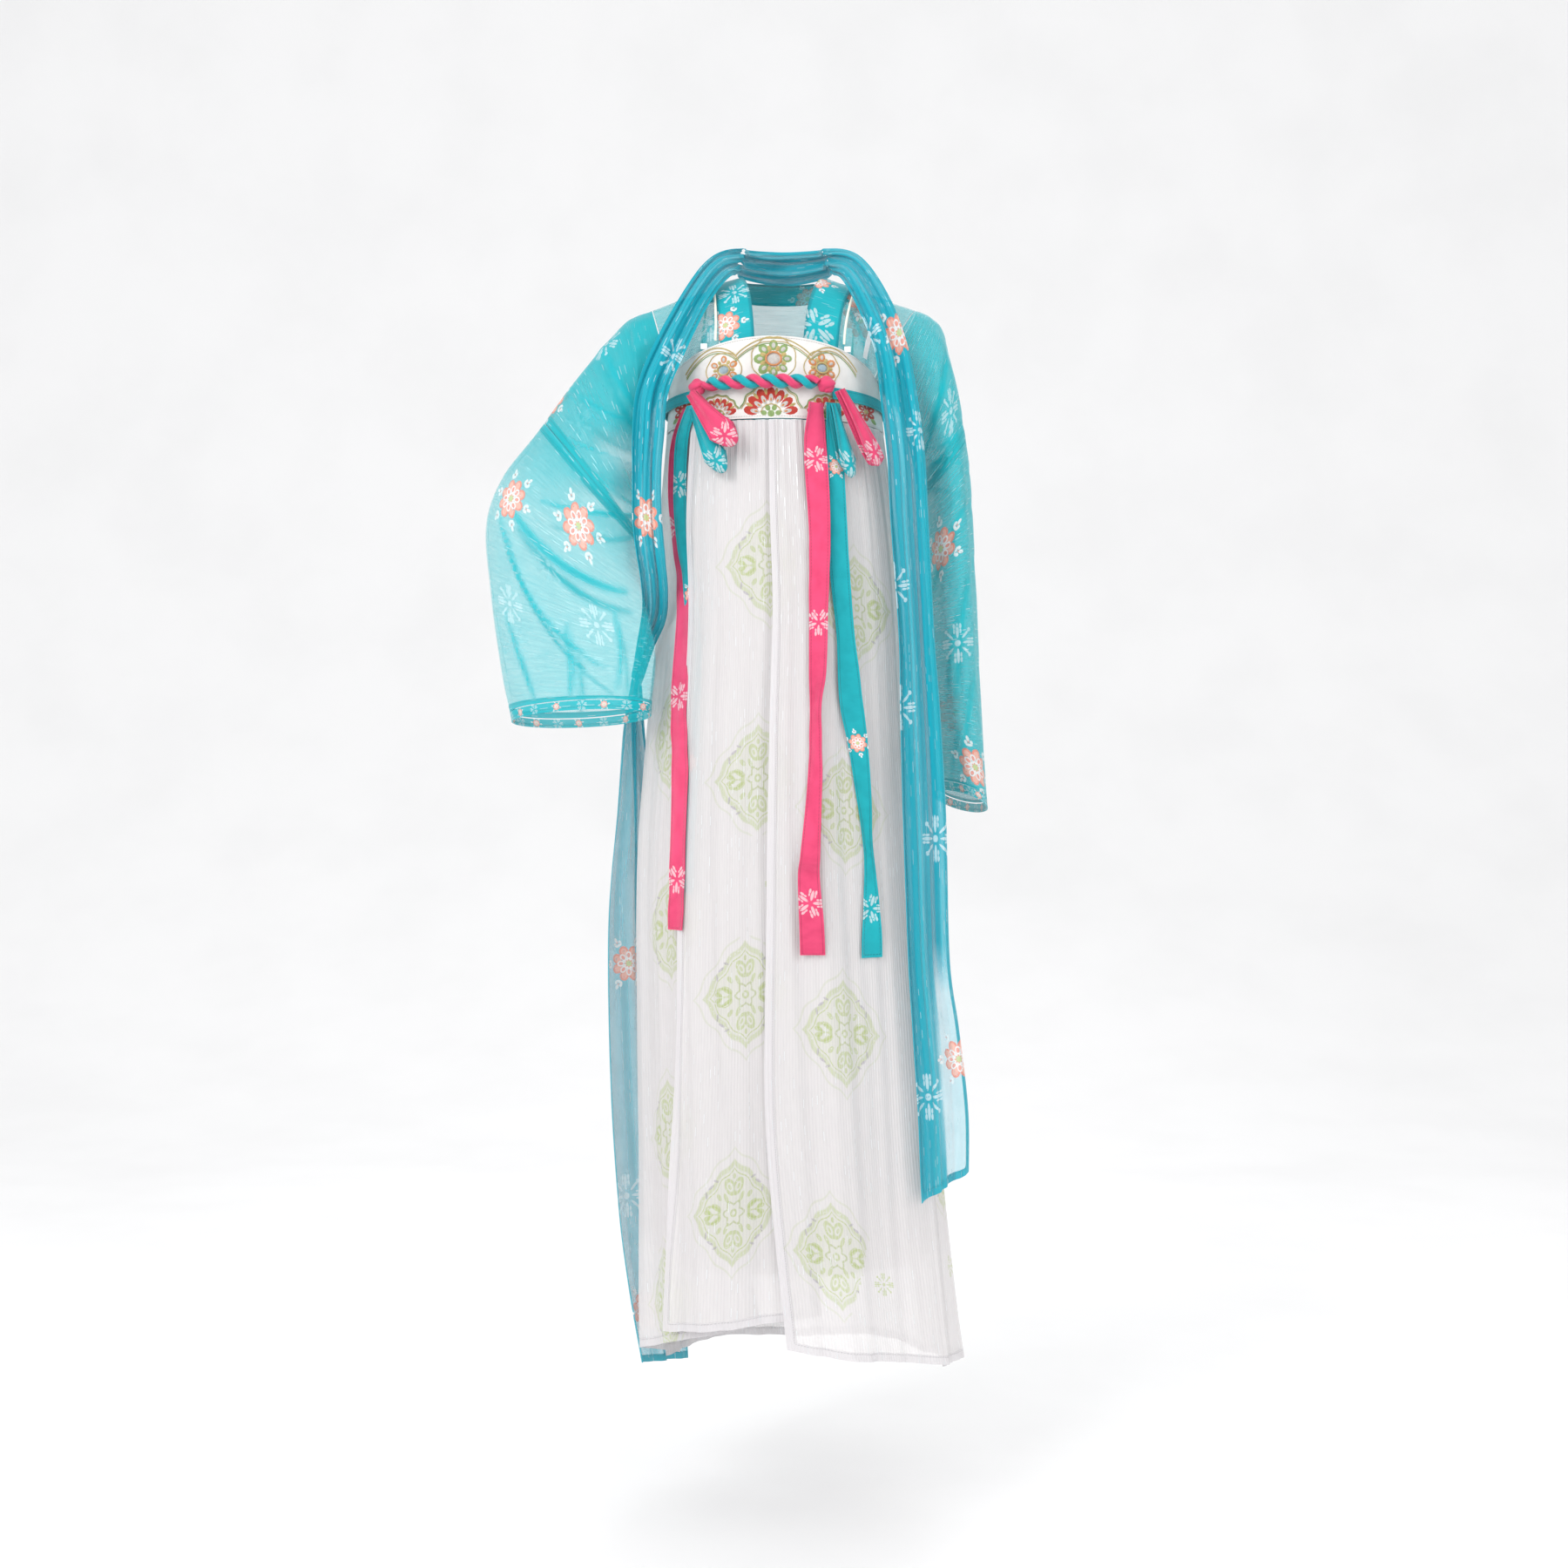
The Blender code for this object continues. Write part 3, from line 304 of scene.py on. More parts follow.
# Soft troughs pressed into the sleeves and blouse, each by its start, a point on it and its end; each is also
# painted darker along its line as crease shade.
RIGHT_SLEEVE_CREASES = (
    Crease(-0.352, 0.274, -0.303, 0.391, -0.216, 0.473, 0.006, 0.0040),
    Crease(-0.337, 0.269, -0.270, 0.343, -0.193, 0.379, 0.010, 0.0042),
    Crease(-0.296, 0.264, -0.222, 0.283, -0.164, 0.277, 0.007, 0.0030),
    Crease(-0.290, 0.172, -0.211, 0.251, -0.164, 0.272, 0.005, 0.0018),
    Crease(-0.290, 0.172, -0.240, 0.198, -0.185, 0.219, 0.004, 0.0016),
    Crease(-0.343, 0.399, -0.324, 0.455, -0.308, 0.504, 0.006, 0.0022),
    Crease(-0.230, 0.060, -0.205, 0.110, -0.180, 0.150, 0.008, 0.0026),
    Crease(-0.265, 0.115, -0.225, 0.150, -0.176, 0.168, 0.006, 0.0020),
    Crease(-0.205, 0.400, -0.196, 0.450, -0.200, 0.500, 0.007, 0.0022),
    Crease(-0.262, 0.420, -0.256, 0.470, -0.258, 0.516, 0.009, 0.0024),
)
LEFT_SLEEVE_CREASES = (
    Crease(0.176, 0.222, 0.196, 0.210, 0.226, 0.222, 0.005, 0.0020),
    Crease(0.226, 0.222, 0.218, 0.232, 0.206, 0.243, 0.004, 0.0014),
    Crease(0.205, 0.060, 0.196, 0.120, 0.178, 0.170, 0.007, 0.0026),
    Crease(0.226, 0.150, 0.212, 0.180, 0.186, 0.196, 0.006, 0.0022),
    Crease(0.232, 0.262, 0.206, 0.300, 0.190, 0.352, 0.006, 0.0022),
    Crease(0.236, 0.330, 0.218, 0.420, 0.212, 0.500, 0.007, 0.0022),
    Crease(0.240, 0.460, 0.226, 0.530, 0.216, 0.590, 0.006, 0.0018),
)
# Clear parts of the right sleeve, each by its x, drop, half width, half height and lean.
WINDOWS = ((-0.208, 0.196, 0.030, 0.019, 0.35), (-0.232, 0.258, 0.046, 0.015, 0.25))
BLOUSE_CREASES = (
    Crease(0.060, 0.000, 0.090, 0.050, 0.104, 0.105, 0.008, 0.0016),
    Crease(0.115, 0.030, 0.124, 0.070, 0.126, 0.110, 0.006, 0.0014),
    Crease(-0.062, 0.000, -0.092, 0.055, -0.108, 0.112, 0.008, 0.0016),
    Crease(-0.118, 0.028, -0.130, 0.070, -0.134, 0.112, 0.006, 0.0014),
)

# Prints: 1 coral flower, 2 pale star, 3 skirt medallion, 4 leaf sprig. The last entry is 1 for the side away.
SLEEVE_MOTIFS = (
    Motif(-0.248, 0.298, 1, 0.044, 10),
    Motif(-0.227, 0.418, 2, 0.026, 10),
    Motif(-0.349, 0.251, 1, 0.041, 60),
    Motif(-0.335, 0.388, 2, 0.026),
    Motif(-0.222, 0.060, 2, 0.026, 30),
    Motif(-0.300, 0.120, 1, 0.038, 0, 1),
    Motif(-0.345, 0.430, 2, 0.024, 40, 1),
    Motif(-0.300, 0.330, 2, 0.026, 0, 1),
    Motif(-0.262, 0.150, 2, 0.026, 10, 1),
    Motif(-0.215, 0.090, 2, 0.026, 0, 1),
    Motif(0.193, 0.320, 1, 0.041, 90),
    Motif(0.234, 0.589, 1, 0.038, 80),
    Motif(0.205, 0.150, 2, 0.026, 20),
    Motif(0.214, 0.440, 2, 0.026),
    Motif(0.240, 0.240, 1, 0.041, 30, 1),
    Motif(0.212, 0.380, 2, 0.026, 0, 1),
    Motif(0.222, 0.520, 1, 0.041, 0, 1),
)
BLOUSE_MOTIFS = (
    Motif(-0.090, 0.045, 2, 0.026),
    Motif(0.098, 0.015, 1, 0.038, 30),
    Motif(-0.100, 0.200, 1, 0.041),
    Motif(0.080, 0.260, 1, 0.041),
    Motif(-0.060, 0.080, 1, 0.041, 10, 1),
    Motif(0.062, 0.160, 1, 0.041, 50, 1),
    Motif(0.045, 0.030, 2, 0.026, 0, 1),
    Motif(-0.055, 0.210, 2, 0.026, 0, 1),
    Motif(-0.020, 0.330, 1, 0.041, 0, 1),
    Motif(0.075, 0.370, 2, 0.026, 0, 1),
)
COLLAR_MOTIFS = (
    Motif(-0.082, 0.060, 1, 0.030),
    Motif(0.038, 0.052, 4, 0.028, 40),
    Motif(-0.050, 0.004, 2, 0.022),
    Motif(0.030, -0.020, 1, 0.028, 0, 1),
)
SHAWL_MOTIFS = (
    Motif(-0.165, 0.290, 1, 0.041),
    Motif(-0.134, 0.092, 2, 0.026),
    Motif(0.137, 0.062, 1, 0.041),
    Motif(0.093, 0.068, 2, 0.026),
    Motif(0.170, 0.180, 2, 0.026),
    Motif(0.135, 0.367, 2, 0.030),
    Motif(0.143, 0.517, 2, 0.030),
    Motif(0.182, 0.672, 2, 0.030),
    Motif(0.172, 0.988, 2, 0.030),
    Motif(0.210, 0.942, 1, 0.038),
    Motif(-0.200, 0.840, 1, 0.038),
    Motif(-0.203, 1.140, 2, 0.030),
    Motif(-0.178, 1.290, 1, 0.038),
    Motif(0.010, 0.060, 1, 0.030, 0, 1),
)
SKIRT_MOTIFS = (
    Motif(-0.018, 0.352, 3, MEDALLION_SIZE),
    Motif(-0.031, 0.603, 3, MEDALLION_SIZE),
    Motif(-0.046, 0.860, 3, MEDALLION_SIZE),
    Motif(-0.061, 1.114, 3, MEDALLION_SIZE),
    Motif(0.088, 0.397, 3, MEDALLION_SIZE),
    Motif(0.072, 0.637, 3, MEDALLION_SIZE),
    Motif(0.072, 0.904, 3, MEDALLION_SIZE),
    Motif(0.062, 1.164, 3, MEDALLION_SIZE),
    Motif(0.140, 0.520, 3, MEDALLION_SIZE),
    Motif(0.150, 0.775, 3, MEDALLION_SIZE),
    Motif(0.150, 1.030, 3, MEDALLION_SIZE),
    Motif(-0.135, 0.558, 3, MEDALLION_SIZE),
    Motif(-0.135, 0.787, 3, MEDALLION_SIZE),
    Motif(-0.137, 1.036, 3, MEDALLION_SIZE),
    Motif(-0.140, 1.244, 3, MEDALLION_SIZE),
    Motif(-0.010, 0.730, 2, SMALL_STAR_SIZE),
    Motif(0.120, 1.205, 2, SMALL_STAR_SIZE),
)
# The stretch of x in which a front or right side panel carries the listed medallions.
PRINTED = {
    "skirt_front_left": (0.0, 1.0),
    "skirt_front_right": (-0.10, 0.02),
    "skirt_side_right": (-1.0, -0.10),
}


# ---- forms -------------------------------------------------------------------------------------------------


def along(table, at, keys=None):
    """Each column of a table on a smooth curve through its rows, which are even unless keys place them."""
    rows = np.array(table, float).reshape(len(table), -1)
    keys = np.linspace(0.0, 1.0, len(rows)) if keys is None else np.asarray(keys, float)
    at = np.clip(np.asarray(at, float), keys[0], keys[-1])
    low = np.clip(np.searchsorted(keys, at, side="right") - 1, 0, len(keys) - 2)
    before, after = np.maximum(low - 1, 0), np.minimum(low + 2, len(keys) - 1)
    step = (keys[low + 1] - keys[low])[..., None]
    s = (at - keys[low])[..., None] / step
    b, c = rows[low], rows[low + 1]
    leave = (c - rows[before]) / (keys[low + 1] - keys[before])[..., None] * step
    arrive = (rows[after] - b) / (keys[after] - keys[low])[..., None] * step
    value = b + s * leave + s**2 * (3 * (c - b) - 2 * leave - arrive) + s**3 * (2 * (b - c) + leave + arrive)
    return np.moveaxis(value, -1, 0)


def spot(x, y, z):
    """Points from their coordinates, any of which may be arrays."""
    return np.stack(np.broadcast_arrays(x, y, z), axis=-1).astype(float)


def blend(start, end, share):
    """Points part of the way from start to end."""
    return start + (end - start) * np.asarray(share)[..., None]


def unit(vectors):
    """Vectors made one long."""
    return vectors / np.maximum(np.linalg.norm(vectors, axis=-1, keepdims=True), 1e-9)


def on_ring(rings, angle, drop, lift=0.0):
    """Points on a body ring, moved out by a lift."""
    _, right, left, front, back = along(rings, drop, [ring.drop for ring in rings])
    turn = np.radians(angle)
    x = (left + right) / 2 + ((left - right) / 2 + lift) * np.sin(turn)
    y = (front + back) / 2 - ((back - front) / 2 + lift) * np.cos(turn)
    return spot(x, y, -np.asarray(drop))


def outward(angle):
    """The level direction away from the body at an angle."""
    turn = np.radians(angle)
    return spot(np.sin(turn), -np.cos(turn), 0.0)


def fold_depth(angle, drop):
    """How far the skirt's folds stand out at one angle and drop."""
    growth = np.maximum(drop - FOLD_START, 0.0) / (SKIRT_RINGS[-1].drop - FOLD_START)
    depth = 0.0
    for fold in SKIRT_FOLDS:
        away = (angle - fold.angle + 180) % 360 - 180
        depth = depth + fold.depth * np.exp(-((away / fold.spread) ** 2))
    return depth * growth**0.8


def ripples(angle, drop):
    """The gathers under the band and the small pleats that run down from them."""
    turn = np.radians(angle)
    below = np.maximum(drop - BAND_BOTTOM, 0.0)
    gathers = np.exp(-((below / 0.085) ** 1.4))
    pleats = np.clip(below / 0.5, 0.0, 1.0)
    wander = 0.6 * np.sin(3 * turn + 2.2 * drop) + 0.4 * np.sin(7 * turn - 1.5 * drop)
    fine = np.sin(109 * turn + 2.0 * wander) + 0.6 * np.sin(71 * turn + 3.0 * wander + 1.0)
    small = np.sin(34 * turn + 2.5 * wander) + 0.8 * np.sin(55 * turn + 2.0 * wander + 2.0 + drop)
    broad = np.sin(21 * turn + 1.5 * wander + 0.8 * drop)
    hanging = pleats * (0.0007 * small + 0.0016 * broad)
    return 0.0007 * gathers * fine + hanging + 0.0006 * small * (0.3 + gathers)


def on_skirt(angle, drop, lift=0.0):
    """Points on the folded skirt, moved out by a lift."""
    return on_ring(SKIRT_RINGS, angle, drop, fold_depth(angle, drop) + lift)


def armhole(side, turn):
    """Points round an armhole: 0 at the shoulder, 90 at the front, 180 under the arm."""
    ring = BLOUSE_RINGS[0]
    top = np.array((side * SHOULDER_HALF, 0.0, -SHOULDER_DROP))
    low = np.array((ring.left if side > 0 else ring.right, (ring.front + ring.back) / 2, -UNDERARM_DROP))
    swing = np.radians(np.asarray(turn, float))[..., None]
    ahead = np.array((0.0, -ARMHOLE_DEPTH, 0.0))
    return (top + low) / 2 + (top - low) / 2 * np.cos(swing) + ahead * np.sin(swing)


def quarter(start, end, share):
    """Points on a quarter oval that leaves start level and reaches end plumb."""
    swing = np.asarray(share, float) * math.pi / 2
    made = blend(start, end, np.sin(swing))
    made[..., 2] = start[..., 2] + (end[..., 2] - start[..., 2]) * (1 - np.cos(swing))
    return made


def front_ring(side, u, drop):
    """Points round a blouse front below the arm, from the front edge to the side seam."""
    _, right, left, _, _ = along(BLOUSE_RINGS, drop, [ring.drop for ring in BLOUSE_RINGS])
    start = np.degrees(np.arcsin((FRONT_EDGE[side] - (left + right) / 2) / ((left - right) / 2)))
    return on_ring(BLOUSE_RINGS, start + (side * 89.85 - start) * u, drop)


def blouse_front(side, u, v):
    """Points on a blouse front: v is 0 at the shoulder, a half under the arm and 1 at the hem."""
    u, v = np.broadcast_arrays(np.asarray(u, float), np.asarray(v, float))
    high = np.clip(v * 2, 0.0, 1.0)
    zero, one = np.zeros_like(u), np.ones_like(u)
    level = np.full_like(u, UNDERARM_DROP)
    neck = np.array((side * NECK_HALF, -SHOULDER_SEAM, NECK_RISE))
    top_end = armhole(side, one)
    low_start, low_end = front_ring(side, zero, level), front_ring(side, one, level)
    across = blend(quarter(neck, low_start, high), armhole(side, 1 + 178 * high), u)
    down = blend(blend(neck, top_end, u), front_ring(side, u, level), high)
    corners = blend(blend(neck, top_end, u), blend(low_start, low_end, u), high)
    drop = UNDERARM_DROP + (BLOUSE_LENGTH - UNDERARM_DROP) * np.clip(v * 2 - 1, 0.0, 1.0)
    return np.where((v <= 0.5)[..., None], across + down - corners, front_ring(side, u, drop))


def back_top(share):
    """The blouse back's top edge, from the wearer's left shoulder round the neck to the right one."""
    share = np.asarray(share, float)
    side = np.where(share < 0.5, 1.0, -1.0)
    away = np.abs(share - 0.5) * 2
    neck = spot(side * NECK_HALF, SHOULDER_SEAM, NECK_RISE)
    shoulder = np.where((side > 0)[..., None], armhole(1, -1.0), armhole(-1, -1.0))
    swing = np.minimum(away / NECK_SHARE, 1.0) * math.pi / 2
    rise = NECK_RISE + (NECK_BACK_RISE - NECK_RISE) * np.cos(swing)
    depth = SHOULDER_SEAM + (NECK_BACK - SHOULDER_SEAM) * np.cos(swing)
    round_neck = spot(side * NECK_HALF * np.sin(swing), depth, rise)
    out = blend(neck, shoulder, (away - NECK_SHARE) / (1 - NECK_SHARE))
    return np.where((away > NECK_SHARE)[..., None], out, round_neck)


def blouse_back(u, v):
    """Points on the blouse back, drawn in round the armholes above the arm and plain below it."""
    u, v = np.broadcast_arrays(np.asarray(u, float), np.asarray(v, float))
    high = np.clip(v * 2, 0.0, 1.0)
    level = np.full_like(u, UNDERARM_DROP)
    edge = np.where(u < 0.5, 0.0, 1.0)
    turn = -1 - 178 * high
    hole = np.where((u < 0.5)[..., None], armhole(1, turn), armhole(-1, turn))
    plain = quarter(back_top(u), on_ring(BLOUSE_RINGS, 90.2 + 179.6 * u, level), high)
    side = quarter(back_top(edge), on_ring(BLOUSE_RINGS, 90.2 + 179.6 * edge, level), high)
    drop = UNDERARM_DROP + (BLOUSE_LENGTH - UNDERARM_DROP) * np.clip(v * 2 - 1, 0.0, 1.0)
    upper = plain + (hole - side) * (np.abs(2 * u - 1) ** 3)[..., None]
    return np.where((v <= 0.5)[..., None], upper, on_ring(BLOUSE_RINGS, 90.2 + 179.6 * u, drop))


def front_to_arm(side, u, v):
    """Points on a blouse front with v at 1 under the arm and 2 at the hem."""
    return blouse_front(side, u, v / 2)


def back_to_arm(u, v):
    """Points on the blouse back with v at 1 under the arm and 2 at the hem."""
    return blouse_back(u, v / 2)


def lifted(place, u, v, lift):
    """Points moved straight out of a surface, away from the body."""
    step = 0.002
    u, v = np.broadcast_arrays(np.asarray(u, float), np.asarray(v, float))
    points = place(u, v)
    across = place(np.minimum(u + step, 1), v) - place(np.maximum(u - step, 0), v)
    down = place(u, np.minimum(v + step, 1)) - place(u, np.maximum(v - step, 0))
    out = unit(np.cross(across, down))
    middle = np.array((-0.01, 0.0, -0.14))
    out *= np.where(np.sum(out * (points - middle), axis=-1) < 0, -1.0, 1.0)[..., None]
    return points + out * np.asarray(lift)[..., None]


def on_sleeve(side, share, turn):
    """Points on a sleeve: turn 0 at its outer edge, 90 at its front."""
    share = np.asarray(share, float)
    top, low = armhole(side, 0.0), armhole(side, 180.0)
    first = Sleeve(top[0], top[1], -top[2], low[0], low[1], -low[2], ARMHOLE_DEPTH)
    rows = (first,) + (RIGHT_SLEEVE if side < 0 else LEFT_SLEEVE)

    def edges(at):
        top_x, top_y, top_drop, low_x, low_y, low_drop, depth = along(rows, np.clip(at, 0.0, 1.0))
        return spot(top_x, top_y, -top_drop), spot(low_x, low_y, -low_drop), depth

    high, deep, depth = edges(share)
    ahead, behind = edges(share + SECTION_REACH), edges(share - SECTION_REACH)
    forward = unit(np.cross(high - deep, ahead[0] + ahead[1] - behind[0] - behind[1]))
    forward *= np.where(forward[..., 1] > 0, -1.0, 1.0)[..., None]
    forward = unit(blend(np.array((0.0, -1.0, 0.0)), forward, np.minimum(share * 4, 1.0)))
    swing = np.radians(turn)[..., None]
    middle = (high + deep) / 2
    return middle + (high - deep) / 2 * np.cos(swing) + forward * depth[..., None] * np.sin(swing)


def band_top(angle):
    """The drop of the chest band's top edge."""
    turn = np.radians(np.minimum(np.abs((np.asarray(angle, float) + 180) % 360 - 180), 90))
    return BAND_TOP_FRONT + (BAND_TOP_SIDE - BAND_TOP_FRONT) * (1 - np.cos(turn))


def on_shawl(stations, u, v):
    """Points on a gathered shawl length."""

    def middle(at):
        x, y, drop, *rest = along(stations, np.clip(at, 0.0, 1.0))
        return spot(x, y, -drop), rest

    centre, (across_x, across_y, across_drop, width, wave) = middle(v)
    across = unit(spot(across_x, across_y, -across_drop))
    out = unit(np.cross(across, middle(v + 0.01)[0] - middle(v - 0.01)[0]))
    swell = wave * np.sin(2 * math.pi * SHAWL_WAVES * u)
    return centre + across * (width * (u - 0.5))[..., None] + out * swell[..., None]


def on_tail(rows, u, v):
    """Points on a hanging tie end."""
    angle, drop, width, turn, lift = along(rows, v)
    swing = np.radians(turn)
    side = (width * (u - 0.5))[..., None]
    across = spot(np.cos(np.radians(angle)), np.sin(np.radians(angle)), 0.0)
    middle = on_skirt(angle, drop, lift + width / 2 * np.abs(np.sin(swing)))
    level = across * side * np.cos(swing)[..., None]
    return middle + level + outward(angle) * side * np.sin(swing)[..., None]


def on_loop(loop, u, v):
    """Points on a bow loop."""
    side = 2 * v - 1
    reach = np.sin(math.pi * u) * (1 - loop.round * side**4 * np.sin(math.pi * u) ** 6)
    angle = loop.angle + (loop.tip_angle - loop.angle) * reach
    drop = loop.drop + (loop.tip_drop - loop.drop) * reach
    tip, root = (np.array((a,), float) for a in ((loop.tip_angle, loop.tip_drop), (loop.angle, loop.drop)))
    run = on_ring(SKIRT_RINGS, tip[:, 0], tip[:, 1]) - on_ring(SKIRT_RINGS, root[:, 0], root[:, 1])
    out = outward(angle)
    across = unit(np.cross(run, out))
    width = loop.width * (0.34 + 0.66 * np.clip(reach * 1.25, 0.0, 1.0) ** 1.3)
    puff = 0.0050 * (1 - side**2) * np.sin(math.pi * u) * (loop.round > 0.1) * np.cos(math.pi * u)
    lift = loop.lift + LOOP_HALF_DEPTH * np.cos(math.pi * u) + puff
    return on_ring(SKIRT_RINGS, angle, drop) + out * lift[..., None] + across * (width * side / 2)[..., None]


def trough(points, facing, creases, away=False):
    """How deep the creases are at each point, with the same ones a little lower on the side away, and a
    narrow line along each that is painted darker as crease shade.
    """
    depth, line = np.zeros(points.shape[:-1]), np.zeros(points.shape[:-1])
    share = np.linspace(0.0, 1.0, 41)
    for crease in creases:
        shift = 0.018 if away else 0.0
        start = np.array((crease.x, crease.drop + shift))
        end = np.array((crease.end_x, crease.end_drop + shift))
        pull = 2 * np.array((crease.middle_x, crease.middle_drop + shift)) - (start + end) / 2
        gone, left = share[:, None], 1 - share[:, None]
        path = left**2 * start + 2 * (left * gone) * pull + gone**2 * end
        flat = np.stack((points[..., 0], -points[..., 2]), axis=-1)
        gap = np.linalg.norm(flat[..., None, :] - path, axis=-1)
        nearest = gap.argmin(axis=-1)
        fade = np.sin(math.pi * np.clip(0.08 + 0.84 * share[nearest], 0, 1)) ** 0.6
        close = gap.min(axis=-1) / crease.width
        depth += crease.depth * np.exp(-(close**2)) * fade * facing
        # The narrow line along each crease, painted darker and denser as crease shade.
        line += crease.depth / 0.0030 * np.exp(-((close * 2.3) ** 2)) * fade * facing
    return depth, line


# ---- finishes ----------------------------------------------------------------------------------------------


class Amount:
    """A number that varies over a cloth; an expression on it adds Math nodes to its finish."""

    def __init__(self, finish, socket):
        self.finish = finish
        self.socket = socket

    def __add__(self, other):
        return self.finish.maths("ADD", self, other)

    def __sub__(self, other):
        return self.finish.maths("SUBTRACT", self, other)

    def __rsub__(self, other):
        return self.finish.maths("SUBTRACT", other, self)

    def __mul__(self, other):
        return self.finish.maths("MULTIPLY", self, other)

    def __truediv__(self, other):
        return self.finish.maths("DIVIDE", self, other)

    def __pow__(self, other):
        return self.finish.maths("POWER", self, other)

    __radd__ = __add__
    __rmul__ = __mul__

    def floor(self):
        return self.finish.maths("FLOOR", self)

    def part(self):
        """What is left after the whole number."""
        return self.finish.maths("FRACT", self)

    def size(self):
        return self.finish.maths("ABSOLUTE", self)

    def cos(self):
        return self.finish.maths("COSINE", self)

    def sin(self):
        return self.finish.maths("SINE", self)

    def most(self, other):
        return self.finish.maths("MAXIMUM", self, other)

    def least(self, other):
        return self.finish.maths("MINIMUM", self, other)

    def within(self, start, end):
        """0 at start and 1 at end, eased between them; start may be the larger."""
        settings = {"interpolation_type": "SMOOTHSTEP"}
        low, high = (start, end) if start < end else (end, start)
        values = {"Value": self, "From Min": low, "From Max": high}
        made = self.finish.node("ShaderNodeMapRange", settings, values)
        eased = Amount(self.finish, made.outputs["Result"])
        return eased if start < end else 1.0 - eased


class Finish:
    """A material and the nodes that make its colour, relief and sheerness."""

    def __init__(self, name):
        self.material = bpy.data.materials.new(name)
        self.material.use_nodes = True
        self.tree = self.material.node_tree
        self.tree.nodes.clear()

    def node(self, kind, settings=None, values=None):
        """Add a node, with its settings first and then its sockets' values or links."""
        made = self.tree.nodes.new(kind)
        for name, value in (settings or {}).items():
            setattr(made, name, value)
        for key, value in (values or {}).items():
            socket = made.inputs[key]
            if isinstance(value, Amount):
                value = value.socket
            if isinstance(value, bpy.types.NodeSocket):
                self.tree.links.new(value, socket)
            else:
                socket.default_value = value
        return made

    def maths(self, operation, *values):
        made = self.node("ShaderNodeMath", {"operation": operation}, dict(enumerate(values)))
        return Amount(self, made.outputs[0])

    def mix(self, share, start, end):
        """One colour turning into another; a colour is a socket or three numbers."""
        ends = [(*end, 1.0) if isinstance(end, (tuple, list)) else end for end in (start, end)]
        made = self.node("ShaderNodeMix", {"data_type": "RGBA"}, {0: share, 6: ends[0], 7: ends[1]})
        return made.outputs[2]

    def split(self, vector):
        made = self.node("ShaderNodeSeparateXYZ", None, {0: vector})
        return [Amount(self, socket) for socket in made.outputs]

    def join(self, x, y, z=0.0):
        return self.node("ShaderNodeCombineXYZ", None, {0: x, 1: y, 2: z}).outputs[0]

    def map(self, name):
        """The two directions of one of the cloth's own UV maps."""
        return self.split(self.node("ShaderNodeUVMap", {"uv_map": name}).outputs[0])[:2]

    def attribute(self, name):
        return Amount(self, self.node("ShaderNodeAttribute", {"attribute_name": name}).outputs["Fac"])

    def place(self):
        return self.node("ShaderNodeTexCoord").outputs["Object"]

    def noise(self, vector, scale, detail=2.0, rough=0.5):
        values = {"Vector": vector, "Scale": scale, "Detail": detail, "Roughness": rough}
        return Amount(self, self.node("ShaderNodeTexNoise", None, values).outputs["Fac"])

    def chance(self, x, y):
        """A random number for each whole pair."""
        made = self.node("ShaderNodeTexWhiteNoise", {"noise_dimensions": "2D"}, {"Vector": self.join(x, y)})
        return Amount(self, made.outputs["Value"])

    def bump(self, height, depth):
        values = {"Height": height, "Distance": depth, "Strength": 1.0}
        return self.node("ShaderNodeBump", None, values).outputs["Normal"]

    def surface(self, values):
        shader = self.node("ShaderNodeBsdfPrincipled", None, values)
        self.node("ShaderNodeOutputMaterial", None, {"Surface": shader.outputs[0]})
        return self.material


def dashes(finish, s, t, run, pitch, share, thin):
    """Short bright threads: one in some of the cells, run long and thin, shifted from row to row."""
    row = (t / pitch).floor()
    shifted = s / run + finish.chance(row, 3.0)
    column = shifted.floor()
    lit = finish.chance(column, row).within(1.0 - share, 1.0 - share + 0.01)
    across = ((t / pitch).part() - 0.5).size().within(thin, thin * 0.5)
    ends = (shifted.part() - 0.5).size().within(0.46, 0.30)
    return lit * across * ends


